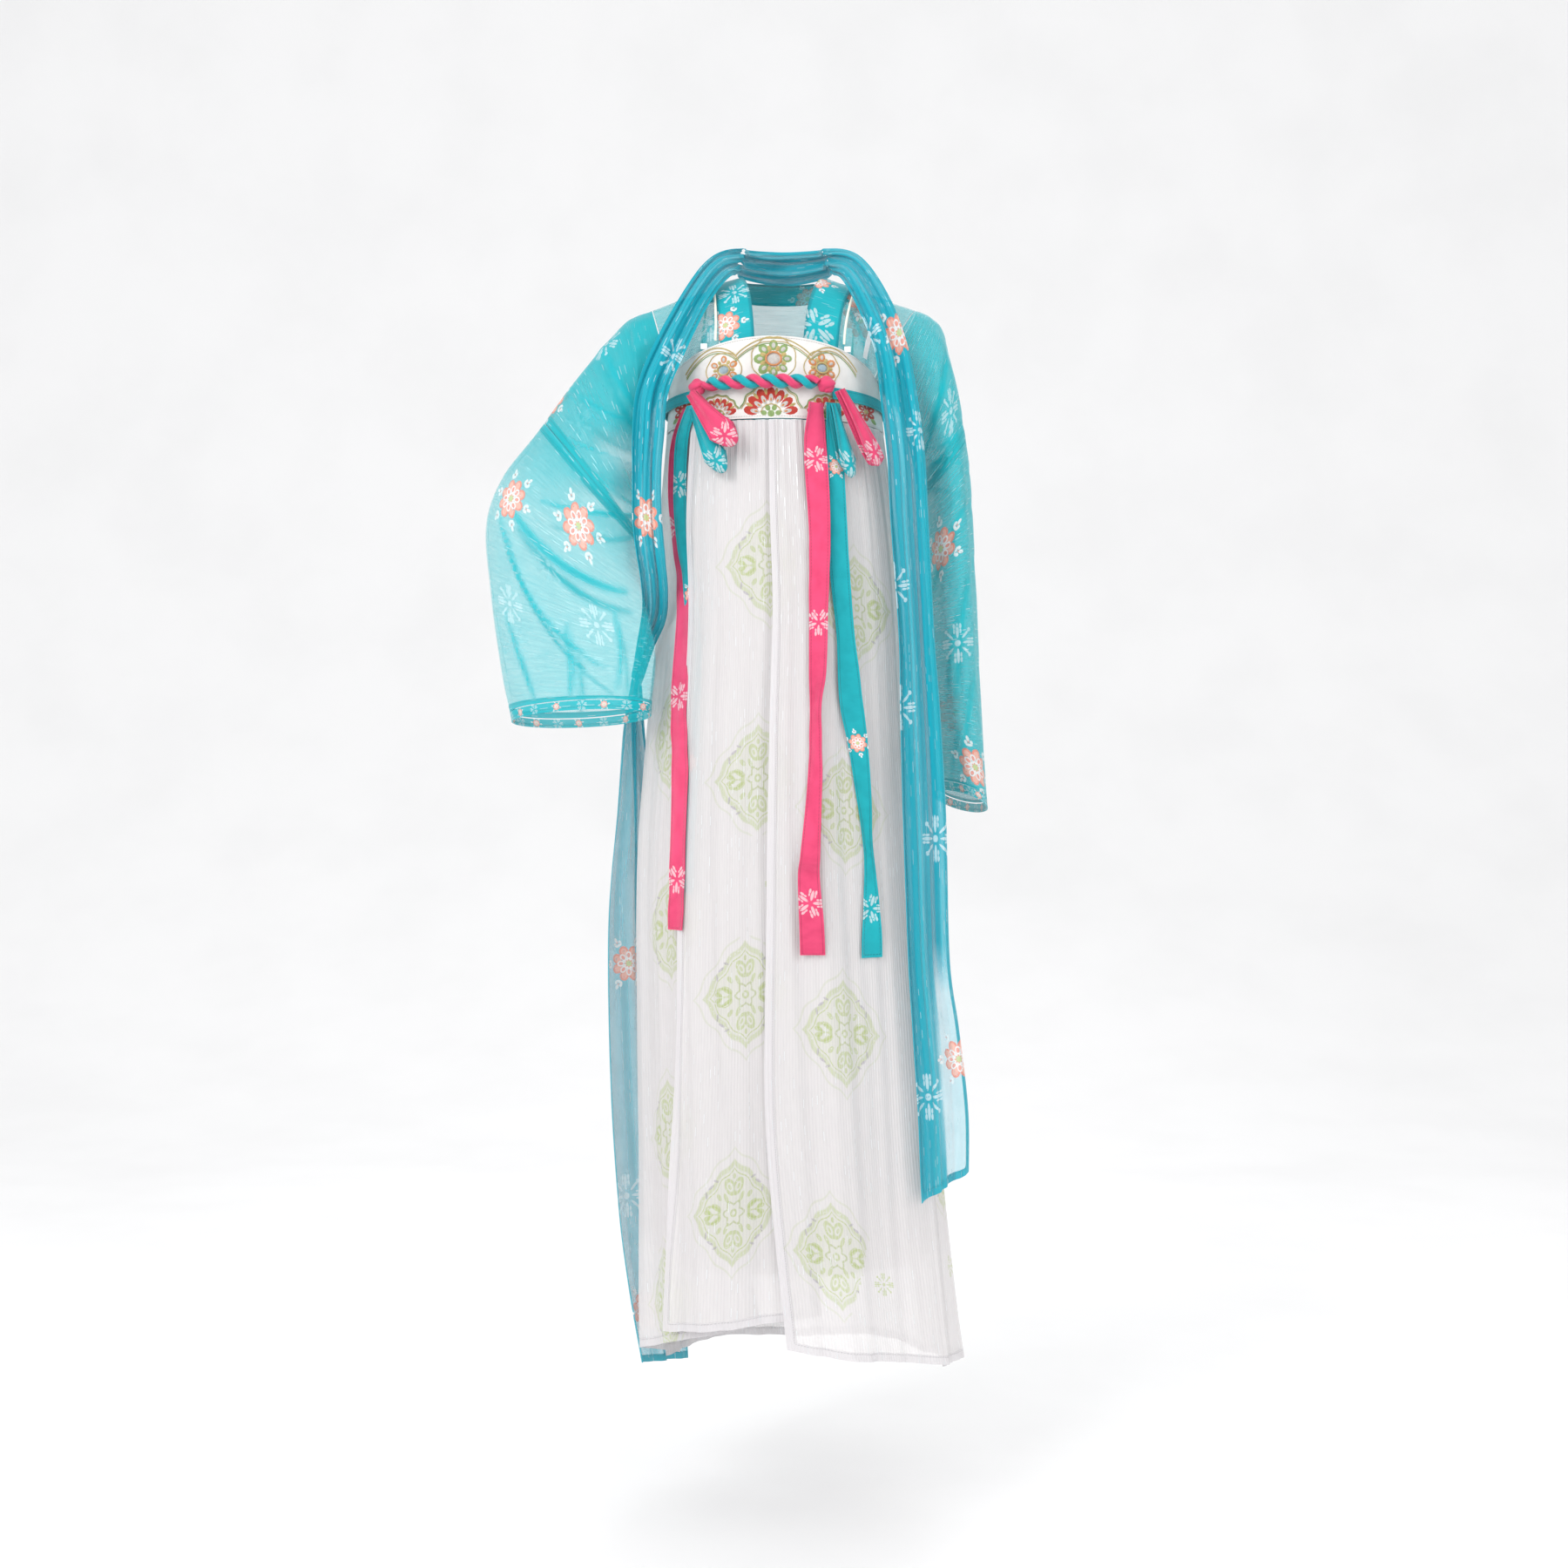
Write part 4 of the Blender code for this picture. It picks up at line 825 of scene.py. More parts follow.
def prints(finish, colours):
    """The printed motifs: layers of (strength, colour) for the flowers, stars, medallions and leaves."""
    x, y = finish.map("motif")
    kind = ((x + 5.0) * 0.1).floor()
    x = x - kind * 10.0
    radius = (x * x + y * y) ** 0.5
    turn = finish.maths("ARCTAN2", y, x)
    soft = finish.noise(finish.place(), 330.0, 2.0)
    worn = soft.within(0.22, 0.42)

    def is_kind(number):
        return (kind - number).size().within(0.5, 0.4) * worn

    def wedge(count, shift):
        """Places in count equal wedges, folded onto the first: out along it and over from its middle."""
        share = (turn * (count / (2 * math.pi)) + shift).part() - 0.5
        swing = share * (2 * math.pi / count)
        return radius * swing.cos(), radius * swing.sin()

    def leaf(spot_out, spot_over, out, over, long, wide):
        body = ((spot_out - out) / long) ** 2.0 + ((spot_over.size() - over) / wide) ** 2.0
        return body.within(1.15, 0.75)

    layers = []
    if "coral" in colours:
        flower = is_kind(1.0)
        out, over = wedge(6, 0.5)
        trefoil = leaf(out, over, 0.90, 0.0, 0.10, 0.055).most(leaf(out, over, 0.78, 0.095, 0.075, 0.05))
        trefoil = trefoil.most(leaf(out, over, 0.70, 0.0, 0.045, 0.12))
        heart = leaf(out, over, 0.80, 0.0, 0.045, 0.03)
        out, over = wedge(8, 0.0)
        outer = leaf(out, over, 0.43, 0.0, 0.20, 0.17)
        outer_core = leaf(out, over, 0.43, 0.0, 0.135, 0.105)
        out, over = wedge(8, 0.5)
        inner = leaf(out, over, 0.27, 0.0, 0.15, 0.10)
        inner_core = leaf(out, over, 0.28, 0.0, 0.085, 0.055)
        dots = leaf(out, over, 0.115, 0.0, 0.03, 0.03)
        layers += [
            (trefoil * flower * 0.9, colours["pale"]),
            (heart * flower * 0.7, colours["coral"]),
            (outer * flower, colours["coral"]),
            (outer_core * flower * 0.85, colours["coral_light"]),
            (inner * flower, colours["pale"]),
            (inner_core * flower * 0.9, colours["coral"]),
            (radius.within(0.20, 0.16) * flower, colours["pale"]),
            (radius.within(0.125, 0.09) * flower * 0.8, colours["green"]),
            (dots * flower * 0.8, colours["coral"]),
        ]
    if "star" in colours:
        star = is_kind(2.0)
        out, over = wedge(4, 0.5)
        arms = leaf(out, over, 0.60, 0.0, 0.36, 0.075).most(leaf(out, over, 0.80, 0.15, 0.13, 0.06))
        arms = arms.most(leaf(out, over, 0.56, 0.15, 0.12, 0.05))
        out, over = wedge(4, 0.0)
        arms = arms.most(leaf(out, over, 0.56, 0.0, 0.26, 0.06)).most(leaf(out, over, 0.84, 0.0, 0.09, 0.10))
        layers += [
            (arms * star * 0.68, colours["star"]),
            (radius.within(0.17, 0.12) * star * 0.7, colours["star"]),
        ]
    if "leaf" in colours:
        out, over = wedge(5, 0.5)
        spray = leaf(out, over, 0.50, 0.0, 0.34, 0.10).most(leaf(out, over, 0.74, 0.20, 0.16, 0.08))
        spray = spray.most(leaf(out, over, 0.50, 0.20, 0.10, 0.06))
        layers += [(spray * is_kind(4.0) * 0.52, colours["pale"])]
    if "medal" in colours:
        layers += medallion(finish, colours, x, y, is_kind(3.0))
    return layers


def medallion(finish, colours, x, y, medal):
    """The skirt's pointed medallion: a soft double frame round a flower, leaves, berries and curls."""
    x = x * 1.2
    radius = (x * x + y * y) ** 0.5
    turn = finish.maths("ARCTAN2", y, x)
    side, high = x.size(), y.size()
    swell = (turn * 2.0).sin().size()
    lobes = 0.78 + (1.0 - swell) ** 3.0 * 0.22 + swell * swell * (0.28 - swell * swell * 0.32)
    shape = radius / lobes

    def line(at, half):
        return (shape - at).size().within(half * 1.6, half * 0.6)

    def oval(centre_x, centre_y, tilt, long, wide, hollow=False):
        c, s = math.cos(math.radians(tilt)), math.sin(math.radians(tilt))
        out, over = side - centre_x, high - centre_y
        body = ((out * c + over * s) / long) ** 2.0 + ((over * c - out * s) / wide) ** 2.0
        return (body - 1.0).size().within(0.75, 0.3) if hollow else body.within(1.25, 0.7)

    def group(*parts):
        made = parts[0]
        for part in parts[1:]:
            made = made.most(part)
        return made

    halo = line(1.17, 0.022) * 0.5
    petals = (radius - 0.19 - (turn * 6.0).cos() * 0.035).size().within(0.034, 0.012)
    outlines = group(
        line(0.80, 0.014),
        petals,
        oval(0.085, 0.47, 60, 0.14, 0.085, True),
        oval(0.47, 0.07, 20, 0.15, 0.075, True),
        (radius - 0.055).size().within(0.03, 0.012),
    )
    leaves = group(
        oval(0.40, 0.12, 28, 0.13, 0.055),
        oval(0.60, 0.05, 12, 0.09, 0.045),
        oval(0.17, 0.28, 62, 0.10, 0.040),
        oval(0.34, 0.30, 45, 0.08, 0.045),
        oval(0.0, 0.66, 90, 0.050, 0.035),
        oval(0.095, 0.47, 62, 0.055, 0.028),
    )
    curls = group(
        oval(0.53, 0.50, 150, 0.075, 0.024),
        oval(0.63, 0.36, 80, 0.070, 0.024),
        oval(0.42, 0.60, 20, 0.060, 0.022),
    )
    return [
        (shape.within(1.0, 0.94) * medal * 0.14, colours["green"]),
        (halo * medal * 0.45, colours["green"]),
        (line(0.92, 0.050) * medal * 0.40, colours["green"]),
        (outlines * medal * 0.60, colours["green"]),
        (petals * medal * 0.12, colours["lilac"]),
        (leaves * medal * 0.55, colours["green"]),
        (curls * medal * 0.55, colours["lilac"]),
    ]


def sheer(
    name, colour, deep, one_wall, dense_wall, marks, dash, ribs=0.0, crinkle=0.00025, down=False, sheen=0.2
):
    """A sheer cloth: its colours single and doubled, the doubled one also painted as shade along creases and
    in rib hollows, how much one face hides, prints, dashes and ribs.
    """
    finish = Finish(name)
    s, t = finish.map("cloth")
    dense = finish.attribute("dense")
    edge = finish.attribute("edge")
    cloth = finish.join(s, t)
    hem = edge.within(0.0108, 0.0100)
    stitch = (edge - 0.0088).size().within(0.0007, 0.0004) * ((s + t) * 330.0).part().within(0.70, 0.62)
    doubled = dense.most(hem * 0.8)
    mottle = finish.noise(cloth, 38.0, 3.0)
    run, over = (t, s) if down else (s, t)
    crepe = finish.noise(finish.join(run * 26.0, over * 420.0), 1.0, 2.0)
    slub = finish.noise(finish.join(s * 500.0, t * 30.0), 1.0, 1.0)
    slub = slub * finish.noise(finish.join(s * 25.0, t * 700.0), 1.0, 1.0)
    # Deeper where the cloth is doubled or hemmed, and along creases, where the deeper colour is painted
    # crease shade.
    base = finish.mix(doubled.least(1.0), colour, deep)
    base = finish.mix(mottle.within(0.35, 0.75) * 0.22, base, deep)
    cover = one_wall + (dense_wall - one_wall) * doubled.least(1.0) + (mottle - 0.5) * 0.08
    cover = cover + (crepe - 0.5) * (0.06 if down else 0.18)
    for strength, ink in marks(finish):
        base = finish.mix(strength, base, ink)
        cover = cover.most(strength * 0.62)
    shine = dashes(finish, run, over, *dash[:4]) * dash[4]
    base = finish.mix(shine, base, (0.80, 0.86, 0.88))
    base = finish.mix(stitch * 0.35, base, [part * 0.45 for part in deep])
    cover = cover.most(shine * 0.85)
    weave = finish.noise(finish.join(s * 900.0, t * 900.0), 1.0, 2.0) * 0.6 + slub * 0.6
    height = weave * (crinkle / 0.0006) + hem * 0.6 - stitch * 0.4
    if ribs:
        wave = (s * (2 * math.pi / ribs) + finish.noise(cloth, 9.0, 1.0) * 2.5).sin()
        height = height + wave * 0.35
        # Painted shade in the hollows of the ribs.
        base = finish.mix(wave.within(-0.2, -1.0) * 0.45, base, deep)
    return finish.surface(
        {
            "Base Color": base,
            "Roughness": 0.55 - shine * 0.25,
            "Metallic": shine * 0.55,
            "Alpha": cover.least(0.985),
            "Normal": finish.bump(height, 0.0006),
            "Sheen Weight": sheen,
            "Sheen Roughness": 0.45,
            "Specular IOR Level": 0.25,
        }
    )


def solid_cloth(name, colour, deep, marks=None, thread=0.0007, rough=0.6, sheen=0.3, satin=0.0):
    """A close cloth: a fine plain weave, faint creases, painted shade in its folds and grooves, its prints
    and its stitched edges.
    """
    finish = Finish(name)
    s, t = finish.map("cloth")
    edge = finish.attribute("edge")
    dense = finish.attribute("dense")
    cloth = finish.join(s, t)
    hem = edge.within(0.0022, 0.0018)
    stitch = (edge - 0.0026).size().within(0.0005, 0.0003) * ((s + t) * 330.0).part().within(0.70, 0.62)
    mottle = finish.noise(cloth, 55.0, 3.0)
    weave = (s * (2 * math.pi / thread)).sin() * (t * (2 * math.pi / thread)).sin()
    crease = finish.noise(finish.join(s * 1.0, t * 0.35), 120.0, 2.0)
    # Random tone, and painted shade in folds, creases and grooves where the attribute marks them.
    base = finish.mix(mottle.within(0.3, 0.8) * 0.45 + dense * 0.35, colour, deep)
    for strength, ink in marks(finish) if marks else ():
        base = finish.mix(strength, base, ink)
    base = finish.mix(stitch * 0.5, base, [part * 0.5 for part in deep])
    height = weave * 0.12 + crease * 0.9 + hem * 0.5 - stitch * 0.4
    return finish.surface(
        {
            "Base Color": base,
            "Roughness": rough + mottle * 0.1 - satin * 0.2,
            "Normal": finish.bump(height, 0.0007),
            "Sheen Weight": sheen,
            "Sheen Roughness": 0.4,
            "Specular IOR Level": 0.3,
        }
    )


def thread_finish(name, colour, deep, pitch=0.0009, rough=0.42):
    """Embroidery thread: fine parallel strands that catch the light, with painted shade in the grooves
    between them.
    """
    finish = Finish(name)
    x, _, z = finish.split(finish.place())
    strands = ((x + z * 0.8) * (2 * math.pi / pitch)).sin()
    shade = finish.noise(finish.place(), 420.0, 2.0)
    base = finish.mix(shade.within(0.3, 0.7) * 0.7, colour, deep)
    # Painted shade in the grooves between the strands.
    base = finish.mix(strands.within(0.0, -1.0) * 0.3, base, deep)
    return finish.surface(
        {
            "Base Color": base,
            "Roughness": rough + shade * 0.15,
            "Normal": finish.bump(strands * 0.5 + shade, 0.0004),
            "Sheen Weight": 0.25,
        }
    )


def plain_finish(name, colour, rough, mottle, extra):
    """A smooth finish with a faint unevenness, for moulded trim, cord and the floor."""
    finish = Finish(name)
    shade = finish.noise(finish.place(), mottle, 3.0)
    base = finish.mix(shade.within(0.3, 0.8) * 0.25, colour, [part * 0.86 for part in colour])
    values = {"Base Color": base, "Roughness": rough + shade * 0.08, "Normal": finish.bump(shade, 0.0002)}
    values.update(extra)
    return finish.surface(values)


# ---- cloth making ------------------------------------------------------------------------------------------


def deselect():
    """Leave nothing selected, so that an operator acts on its own piece only."""
    if bpy.context.object and bpy.context.object.mode != "OBJECT":
        bpy.ops.object.mode_set(mode="OBJECT")
    bpy.ops.object.select_all(action="DESELECT")


def choose(piece):
    deselect()
    piece.select_set(True)
    bpy.context.view_layer.objects.active = piece


def measure(points):
    """Each point's distance along its row and down its column."""
    across = np.linalg.norm(np.diff(points, axis=1), axis=-1)
    down = np.linalg.norm(np.diff(points, axis=0), axis=-1)
    s = np.concatenate((np.zeros((points.shape[0], 1)), np.cumsum(across, axis=1)), axis=1)
    t = np.concatenate((np.zeros((1, points.shape[1])), np.cumsum(down, axis=0)), axis=0)
    return s, t


def raised(points, height):
    """Points moved along the surface's own normal by a height at each point."""
    down, across = np.gradient(points, axis=(0, 1))
    out = unit(np.cross(across, down))
    return points + out * height[..., None]


def motif_map(points, s, t, motifs):
    """For each face, its corners' places in the nearest motif, in motif radii, with 10 x its kind added."""
    rows, columns = points.shape[0] - 1, points.shape[1] - 1
    best = np.full((rows, columns), 1e9)
    made = np.full((rows, columns, 4, 2), 4.0)
    mean_y = points[..., 1].mean(axis=1, keepdims=True)
    for motif in motifs:
        if isinstance(motif, Motif):
            far = (points[..., 1] > mean_y) if not motif.back else (points[..., 1] < mean_y)
            miss = (points[..., 0] - motif.x) ** 2 + (-points[..., 2] - motif.drop) ** 2
            spread = points[..., 1].max() - points[..., 1].min()
            miss = miss + (far & (spread > 0.05)) * 1.0
            if miss.min() > 0.03**2:
                continue
            row, column = np.unravel_index(miss.argmin(), miss.shape)
            kind, size, turn = motif.kind, motif.size, math.radians(motif.turn)
        else:
            v, u, kind, size, turn = motif
            row, column = int(round(v * rows)), int(round(u * columns))
        x = (s - s[:, column : column + 1]) / size
        y = -(t - t[row : row + 1, :]) / size
        x, y = x * math.cos(turn) + y * math.sin(turn), y * math.cos(turn) - x * math.sin(turn)
        corners = []
        for down, over in ((0, 0), (0, 1), (1, 1), (1, 0)):
            patch = (slice(down, rows + down), slice(over, columns + over))
            corners.append((x[patch], y[patch]))
        middle = sum(np.hypot(*corner) for corner in corners) / 4 * size
        nearer = middle < best
        best = np.where(nearer, middle, best)
        for number, (corner_x, corner_y) in enumerate(corners):
            local = np.clip(np.stack((corner_x, corner_y), axis=-1), -3.0, 3.0)
            local[..., 0] += 10 * kind
            made[:, :, number][nearer] = local[nearer]
    return made


def lay(name, points, wall, material, ring=False, motifs=(), dense=0.0, edge=1.0):
    """Make a cloth piece from a grid of places: its UV maps, its attribute of doubled cloth and painted
    shade, its edge attribute and its wall.
    """
    rows, columns = points.shape[0] - 1, points.shape[1] - 1
    deselect()
    bpy.ops.mesh.primitive_grid_add(x_subdivisions=columns, y_subdivisions=rows, size=2.0)
    piece = bpy.context.object
    piece.name = piece.data.name = "sewn_" + name
    data = piece.data
    if len(data.vertices) != (rows + 1) * (columns + 1):
        raise RuntimeError("the grid for " + name + " has the wrong size")
    s, t = measure(points)
    wide, long = float(s[:, -1].mean()), float(t[-1].mean())
    start = np.empty(len(data.vertices) * 3)
    data.vertices.foreach_get("co", start)
    start = start.reshape(-1, 3)
    column = np.rint((start[:, 0] + 1) / 2 * columns).astype(int)
    row = np.rint((1 - start[:, 1]) / 2 * rows).astype(int)
    data.vertices.foreach_set("co", points[row, column].ravel())
    corner = np.empty(len(data.loops), dtype=int)
    data.loops.foreach_get("vertex_index", corner)
    over, down = column[corner], row[corner]
    flat = np.stack((over / columns * wide, (down / rows - 1.0) * long), axis=-1)
    data.uv_layers[0].name = "cloth"
    data.uv_layers["cloth"].data.foreach_set("uv", flat.ravel())
    places = motif_map(points, s, t, motifs)
    face_over, face_down = over.reshape(-1, 4).min(axis=1), down.reshape(-1, 4).min(axis=1)
    order = {(0, 0): 0, (0, 1): 1, (1, 1): 2, (1, 0): 3}
    lower = np.repeat(face_down, 4)
    left = np.repeat(face_over, 4)
    number = np.array([order[key] for key in zip((down - lower).tolist(), (over - left).tolist())])
    data.uv_layers.new(name="motif").data.foreach_set("uv", places[lower, left, number].ravel())
    for label, values in (("dense", dense), ("edge", edge)):
        values = np.broadcast_to(values, points.shape[:2])[row, column].astype(float)
        data.attributes.new(label, "FLOAT", "POINT").data.foreach_set("value", values)
    if ring:
        bpy.ops.object.mode_set(mode="EDIT")
        bpy.ops.mesh.select_all(action="SELECT")
        bpy.ops.mesh.remove_doubles(threshold=0.00001)
        bpy.ops.object.mode_set(mode="OBJECT")
    piece.modifiers.new("wall", "SOLIDIFY")
    piece.modifiers["wall"].thickness = wall
    piece.modifiers["wall"].offset = 0.0
    bpy.ops.object.modifier_apply(modifier="wall")
    bpy.ops.object.shade_smooth_by_angle(angle=math.radians(70))
    data.materials.clear()
    data.materials.append(material)
    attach(piece, "root")
    return Sheet(piece, wide, long)


def grid(columns, rows):
    """The two shares, across and down, of a grid's places."""
    return np.meshgrid(np.linspace(0.0, 1.0, columns + 1), np.linspace(0.0, 1.0, rows + 1))


def declare(sheet):
    """Hide the imported part that a cloth piece replaces."""
    piece, wide, long = sheet
    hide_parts(piece.name.removeprefix("sewn_"))


# ---- the add-on --------------------------------------------------------------------------------------------


def length_choice(name, description, default, least, most):
    return bpy.props.FloatProperty(
        name=name, description=description, default=default, min=least, max=most, unit="LENGTH"
    )


def share_choice(name, description):
    return bpy.props.FloatProperty(name=name, description=description, default=1.0, min=0.0, max=1.5)


class HanfuSizes(bpy.types.PropertyGroup):
    """The sizes of the cloth's own detail."""

    sheer_wall: length_choice("Sheer wall", "Thickness of the chiffon and voile", 0.0009, 0.0003, 0.002)
    tie_wall: length_choice("Tie wall", "Thickness of the ties and doubled bands", 0.0013, 0.0005, 0.003)
    rib_pitch: length_choice("Rib pitch", "Distance between the skirt cloth's ribs", 0.0032, 0.001, 0.01)
    pleat_depth: share_choice("Pleat depth", "Depth of the skirt's gathers, as a share of the drawn ones")
    crease_depth: share_choice("Crease depth", "Depth of the blouse's creases, as a share of the drawn ones")
    stitch_radius: length_choice("Couched cord", "Radius of the embroidery's cord", 0.0008, 0.0003, 0.002)


def colour_choice(name, description, default):
    return bpy.props.FloatVectorProperty(
        name=name, description=description, default=default, size=3, min=0.0, max=1.0, subtype="COLOR"
    )


class HanfuColours(bpy.types.PropertyGroup):
    """The colours of the cloths and threads."""

    blouse: colour_choice("Blouse", "Teal chiffon of the blouse", (0.004, 0.60, 0.66))
    # The doubled blouse colour is also the painted crease shade on the blouse and sleeves.
    blouse_deep: colour_choice("Blouse doubled", "The same chiffon where it is doubled", (0.0, 0.46, 0.53))
    shawl: colour_choice("Shawl", "Teal chiffon of the shawl", (0.018, 0.54, 0.68))
    shawl_deep: colour_choice("Shawl doubled", "The shawl's chiffon where it is gathered", (0.0, 0.39, 0.50))
    skirt: colour_choice("Skirt", "White voile of the skirt", (0.90, 0.875, 0.875))
    # The skirt's shade colour is painted shade in the rib hollows, and also the doubled voile's colour.
    skirt_deep: colour_choice("Skirt shade", "The voile in the hollows of its ribs", (0.77, 0.745, 0.765))
    satin: colour_choice("Band", "White ground of the chest band", (0.88, 0.865, 0.845))
    pink: colour_choice("Pink tie", "Pink ribbon", (0.82, 0.070, 0.190))
    # The deeper pink is the ribbon's random tone and the painted shade in its folds.
    pink_deep: colour_choice("Pink shade", "Pink ribbon in its folds", (0.60, 0.030, 0.110))
    teal: colour_choice("Teal tie", "Teal ribbon", (0.005, 0.43, 0.49))
    # The deeper teal is the ribbon's random tone and painted shade in its folds, and the collar's doubled
    # colour.
    teal_deep: colour_choice("Teal shade", "Teal ribbon in its folds", (0.0, 0.27, 0.33))
    coral: colour_choice("Coral", "Coral of the printed flowers", (0.86, 0.28, 0.20))
    coral_light: colour_choice("Light coral", "Petals of the printed flowers", (0.90, 0.52, 0.42))
    star: colour_choice("Star", "Pale blue of the printed stars", (0.74, 0.88, 0.92))
    leaf_green: colour_choice("Green", "Green of the prints", (0.50, 0.62, 0.17))
    lilac: colour_choice("Lilac", "Grey lilac of the medallions", (0.42, 0.38, 0.50))
    gold: colour_choice("Gold", "Gold thread", (0.74, 0.58, 0.22))
    orange: colour_choice("Orange", "Orange thread", (0.90, 0.36, 0.12))
    red: colour_choice("Red", "Red thread", (0.74, 0.045, 0.022))
    green: colour_choice("Green thread", "Green thread", (0.36, 0.54, 0.18))
    blue: colour_choice("Pale blue thread", "Pale blue thread", (0.50, 0.68, 0.78))
    cream: colour_choice("Cord", "Cream shoulder cord", (0.82, 0.70, 0.52))


def sizes():
    return bpy.context.scene.hanfu_sizes


def colours():
    return bpy.context.scene.hanfu_colours


def inks(*names, star="star"):
    """The print colours that a cloth uses, by their part in the prints."""
    chosen = colours()
    every = {
        "pale": (0.86, 0.88, 0.88),
        "coral": tuple(chosen.coral),
        "coral_light": tuple(chosen.coral_light),
        "green": tuple(chosen.leaf_green),
        "star": tuple(getattr(chosen, star)),
        "lilac": tuple(chosen.lilac),
        "leaf": (0.9, 0.9, 0.9),
        "medal": tuple(chosen.leaf_green),
    }
    used = {part: every[part] for part in ("pale", "green", "coral_light") + names}
    return lambda finish: prints(finish, used)


def cloth_finish(name):
    """One of the set's materials, made the first time it is asked for."""
    if name in bpy.data.materials:
        return bpy.data.materials[name]
    pick = colours()
    rib = sizes().rib_pitch
    if name == "blouse_chiffon":
        dash = (0.013, 0.0034, 0.15, 0.085, 0.7)
        marks = inks("coral", "star", "leaf")
        return sheer(name, tuple(pick.blouse), tuple(pick.blouse_deep), 0.20, 0.82, marks, dash)
    if name == "collar_chiffon":
        dash = (0.013, 0.0034, 0.10, 0.085, 0.5)
        marks = inks("coral", "star", "leaf")
        return sheer(name, tuple(pick.blouse_deep), tuple(pick.teal_deep), 0.80, 0.92, marks, dash)
    if name == "drape_chiffon":
        dash = (0.012, 0.0030, 0.12, 0.085, 0.7)
        marks = inks("coral", "star", "leaf")
        return sheer(name, tuple(pick.shawl), tuple(pick.shawl_deep), 0.22, 0.90, marks, dash, down=True)
    if name == "ribbed_voile":
        dash = (0.016, 0.0048, 0.14, 0.07, 0.9)
        marks = inks("lilac", "medal", "star", star="leaf_green")
        pale, shade = tuple(pick.skirt), tuple(pick.skirt_deep)
        return sheer(
            name, pale, shade, 0.52, 0.80, marks, dash, ribs=rib, crinkle=0.00012, down=True, sheen=0.1
        )
    if name == "lining_cloth":
        return solid_cloth(name, (0.84, 0.81, 0.82), (0.72, 0.69, 0.71), rough=0.7, sheen=0.1)
    if name == "satin_band":
        return solid_cloth(name, tuple(pick.satin), (0.66, 0.64, 0.62), rough=0.5, satin=0.6)
    if name == "pink_ribbon":
        return solid_cloth(name, tuple(pick.pink), tuple(pick.pink_deep), inks("leaf", "star"))
    if name == "teal_ribbon":
        return solid_cloth(name, tuple(pick.teal), tuple(pick.teal_deep), inks("coral", "star", "leaf"))
    if name == "cream_cord":
        return thread_finish(name, tuple(pick.cream), [part * 0.7 for part in pick.cream], 0.0012)
    if name == "clear_strap":
        extra = {"Alpha": 0.35, "Coat Weight": 0.5}
        return plain_finish(name, (0.88, 0.90, 0.92), 0.18, 60.0, extra)
    if name == "white_clip":
        return plain_finish(name, (0.84, 0.84, 0.85), 0.3, 200.0, {"Coat Weight": 0.3})
    if name == "white_thread":
        return thread_finish(name, (0.82, 0.80, 0.76), (0.60, 0.58, 0.55))
    colour = tuple(getattr(pick, name.replace("_thread", "")))
    return thread_finish(name, colour, [part * 0.75 for part in colour])


def hemmed(u, v, wide, long, sides):
    """Each place's distance from the nearest hemmed edge; sides names the hemmed ones."""
    far = {"left": u * wide, "right": (1 - u) * wide, "top": v * long, "low": (1 - v) * long}
    return np.minimum.reduce([far[side] for side in sides])


def crumple(s, t, depth):
    """A soft unevenness of a hanging sheer cloth."""
    made = np.sin(s * 61 + 2.1 * np.sin(t * 17 + 1)) * np.sin(t * 37 + 1.7 * np.sin(s * 23))
    return depth * (made + 0.6 * np.sin(s * 133 + t * 71 + 2.0 * np.sin(t * 41)))


class HANFU_OT_blouse(bpy.types.Operator):
    """Sew the blouse's back and two fronts"""

    bl_idname = "hanfu.sew_blouse"
    bl_label = "Blouse"

    def execute(self, context):
        cloth = cloth_finish("blouse_chiffon")
        for name, place, columns, rows in (
            ("blouse_back", blouse_back, 110, 84),
            ("blouse_front_right", partial(blouse_front, -1), 64, 100),
            ("blouse_front_left", partial(blouse_front, 1), 64, 100),
        ):
            u, v = grid(columns, rows)
            points = place(u, v)
            s, t = measure(points)
            edge_room = np.clip(np.minimum.reduce((u, 1 - u, v * 1.5, (1 - v) * 1.5)) * 8, 0.0, 1.0)
            creases, line = trough(points, 1.0, BLOUSE_CREASES, away=name == "blouse_back")
            height = (crumple(s, t, 0.0007) - creases * sizes().crease_depth) * edge_room
            tucked = np.clip((-points[..., 2] - band_top(0.0)) / 0.06, 0.0, 1.0)
            outer = raised(points, height * (1 - 0.5 * tucked))
            # Painted crease shade along the creases, partly the cloth lying doubled there, over an even base
            # density.
            dense = np.clip(line, 0.0, 0.8) * 0.8 + 0.12
            edge = hemmed(u, v, s[:, -1].mean(), t[-1].mean(), ("low",))
            sheet = lay(
                name, outer, sizes().sheer_wall, cloth, motifs=BLOUSE_MOTIFS, dense=dense, edge=edge
            )
            declare(sheet)
        return {"FINISHED"}


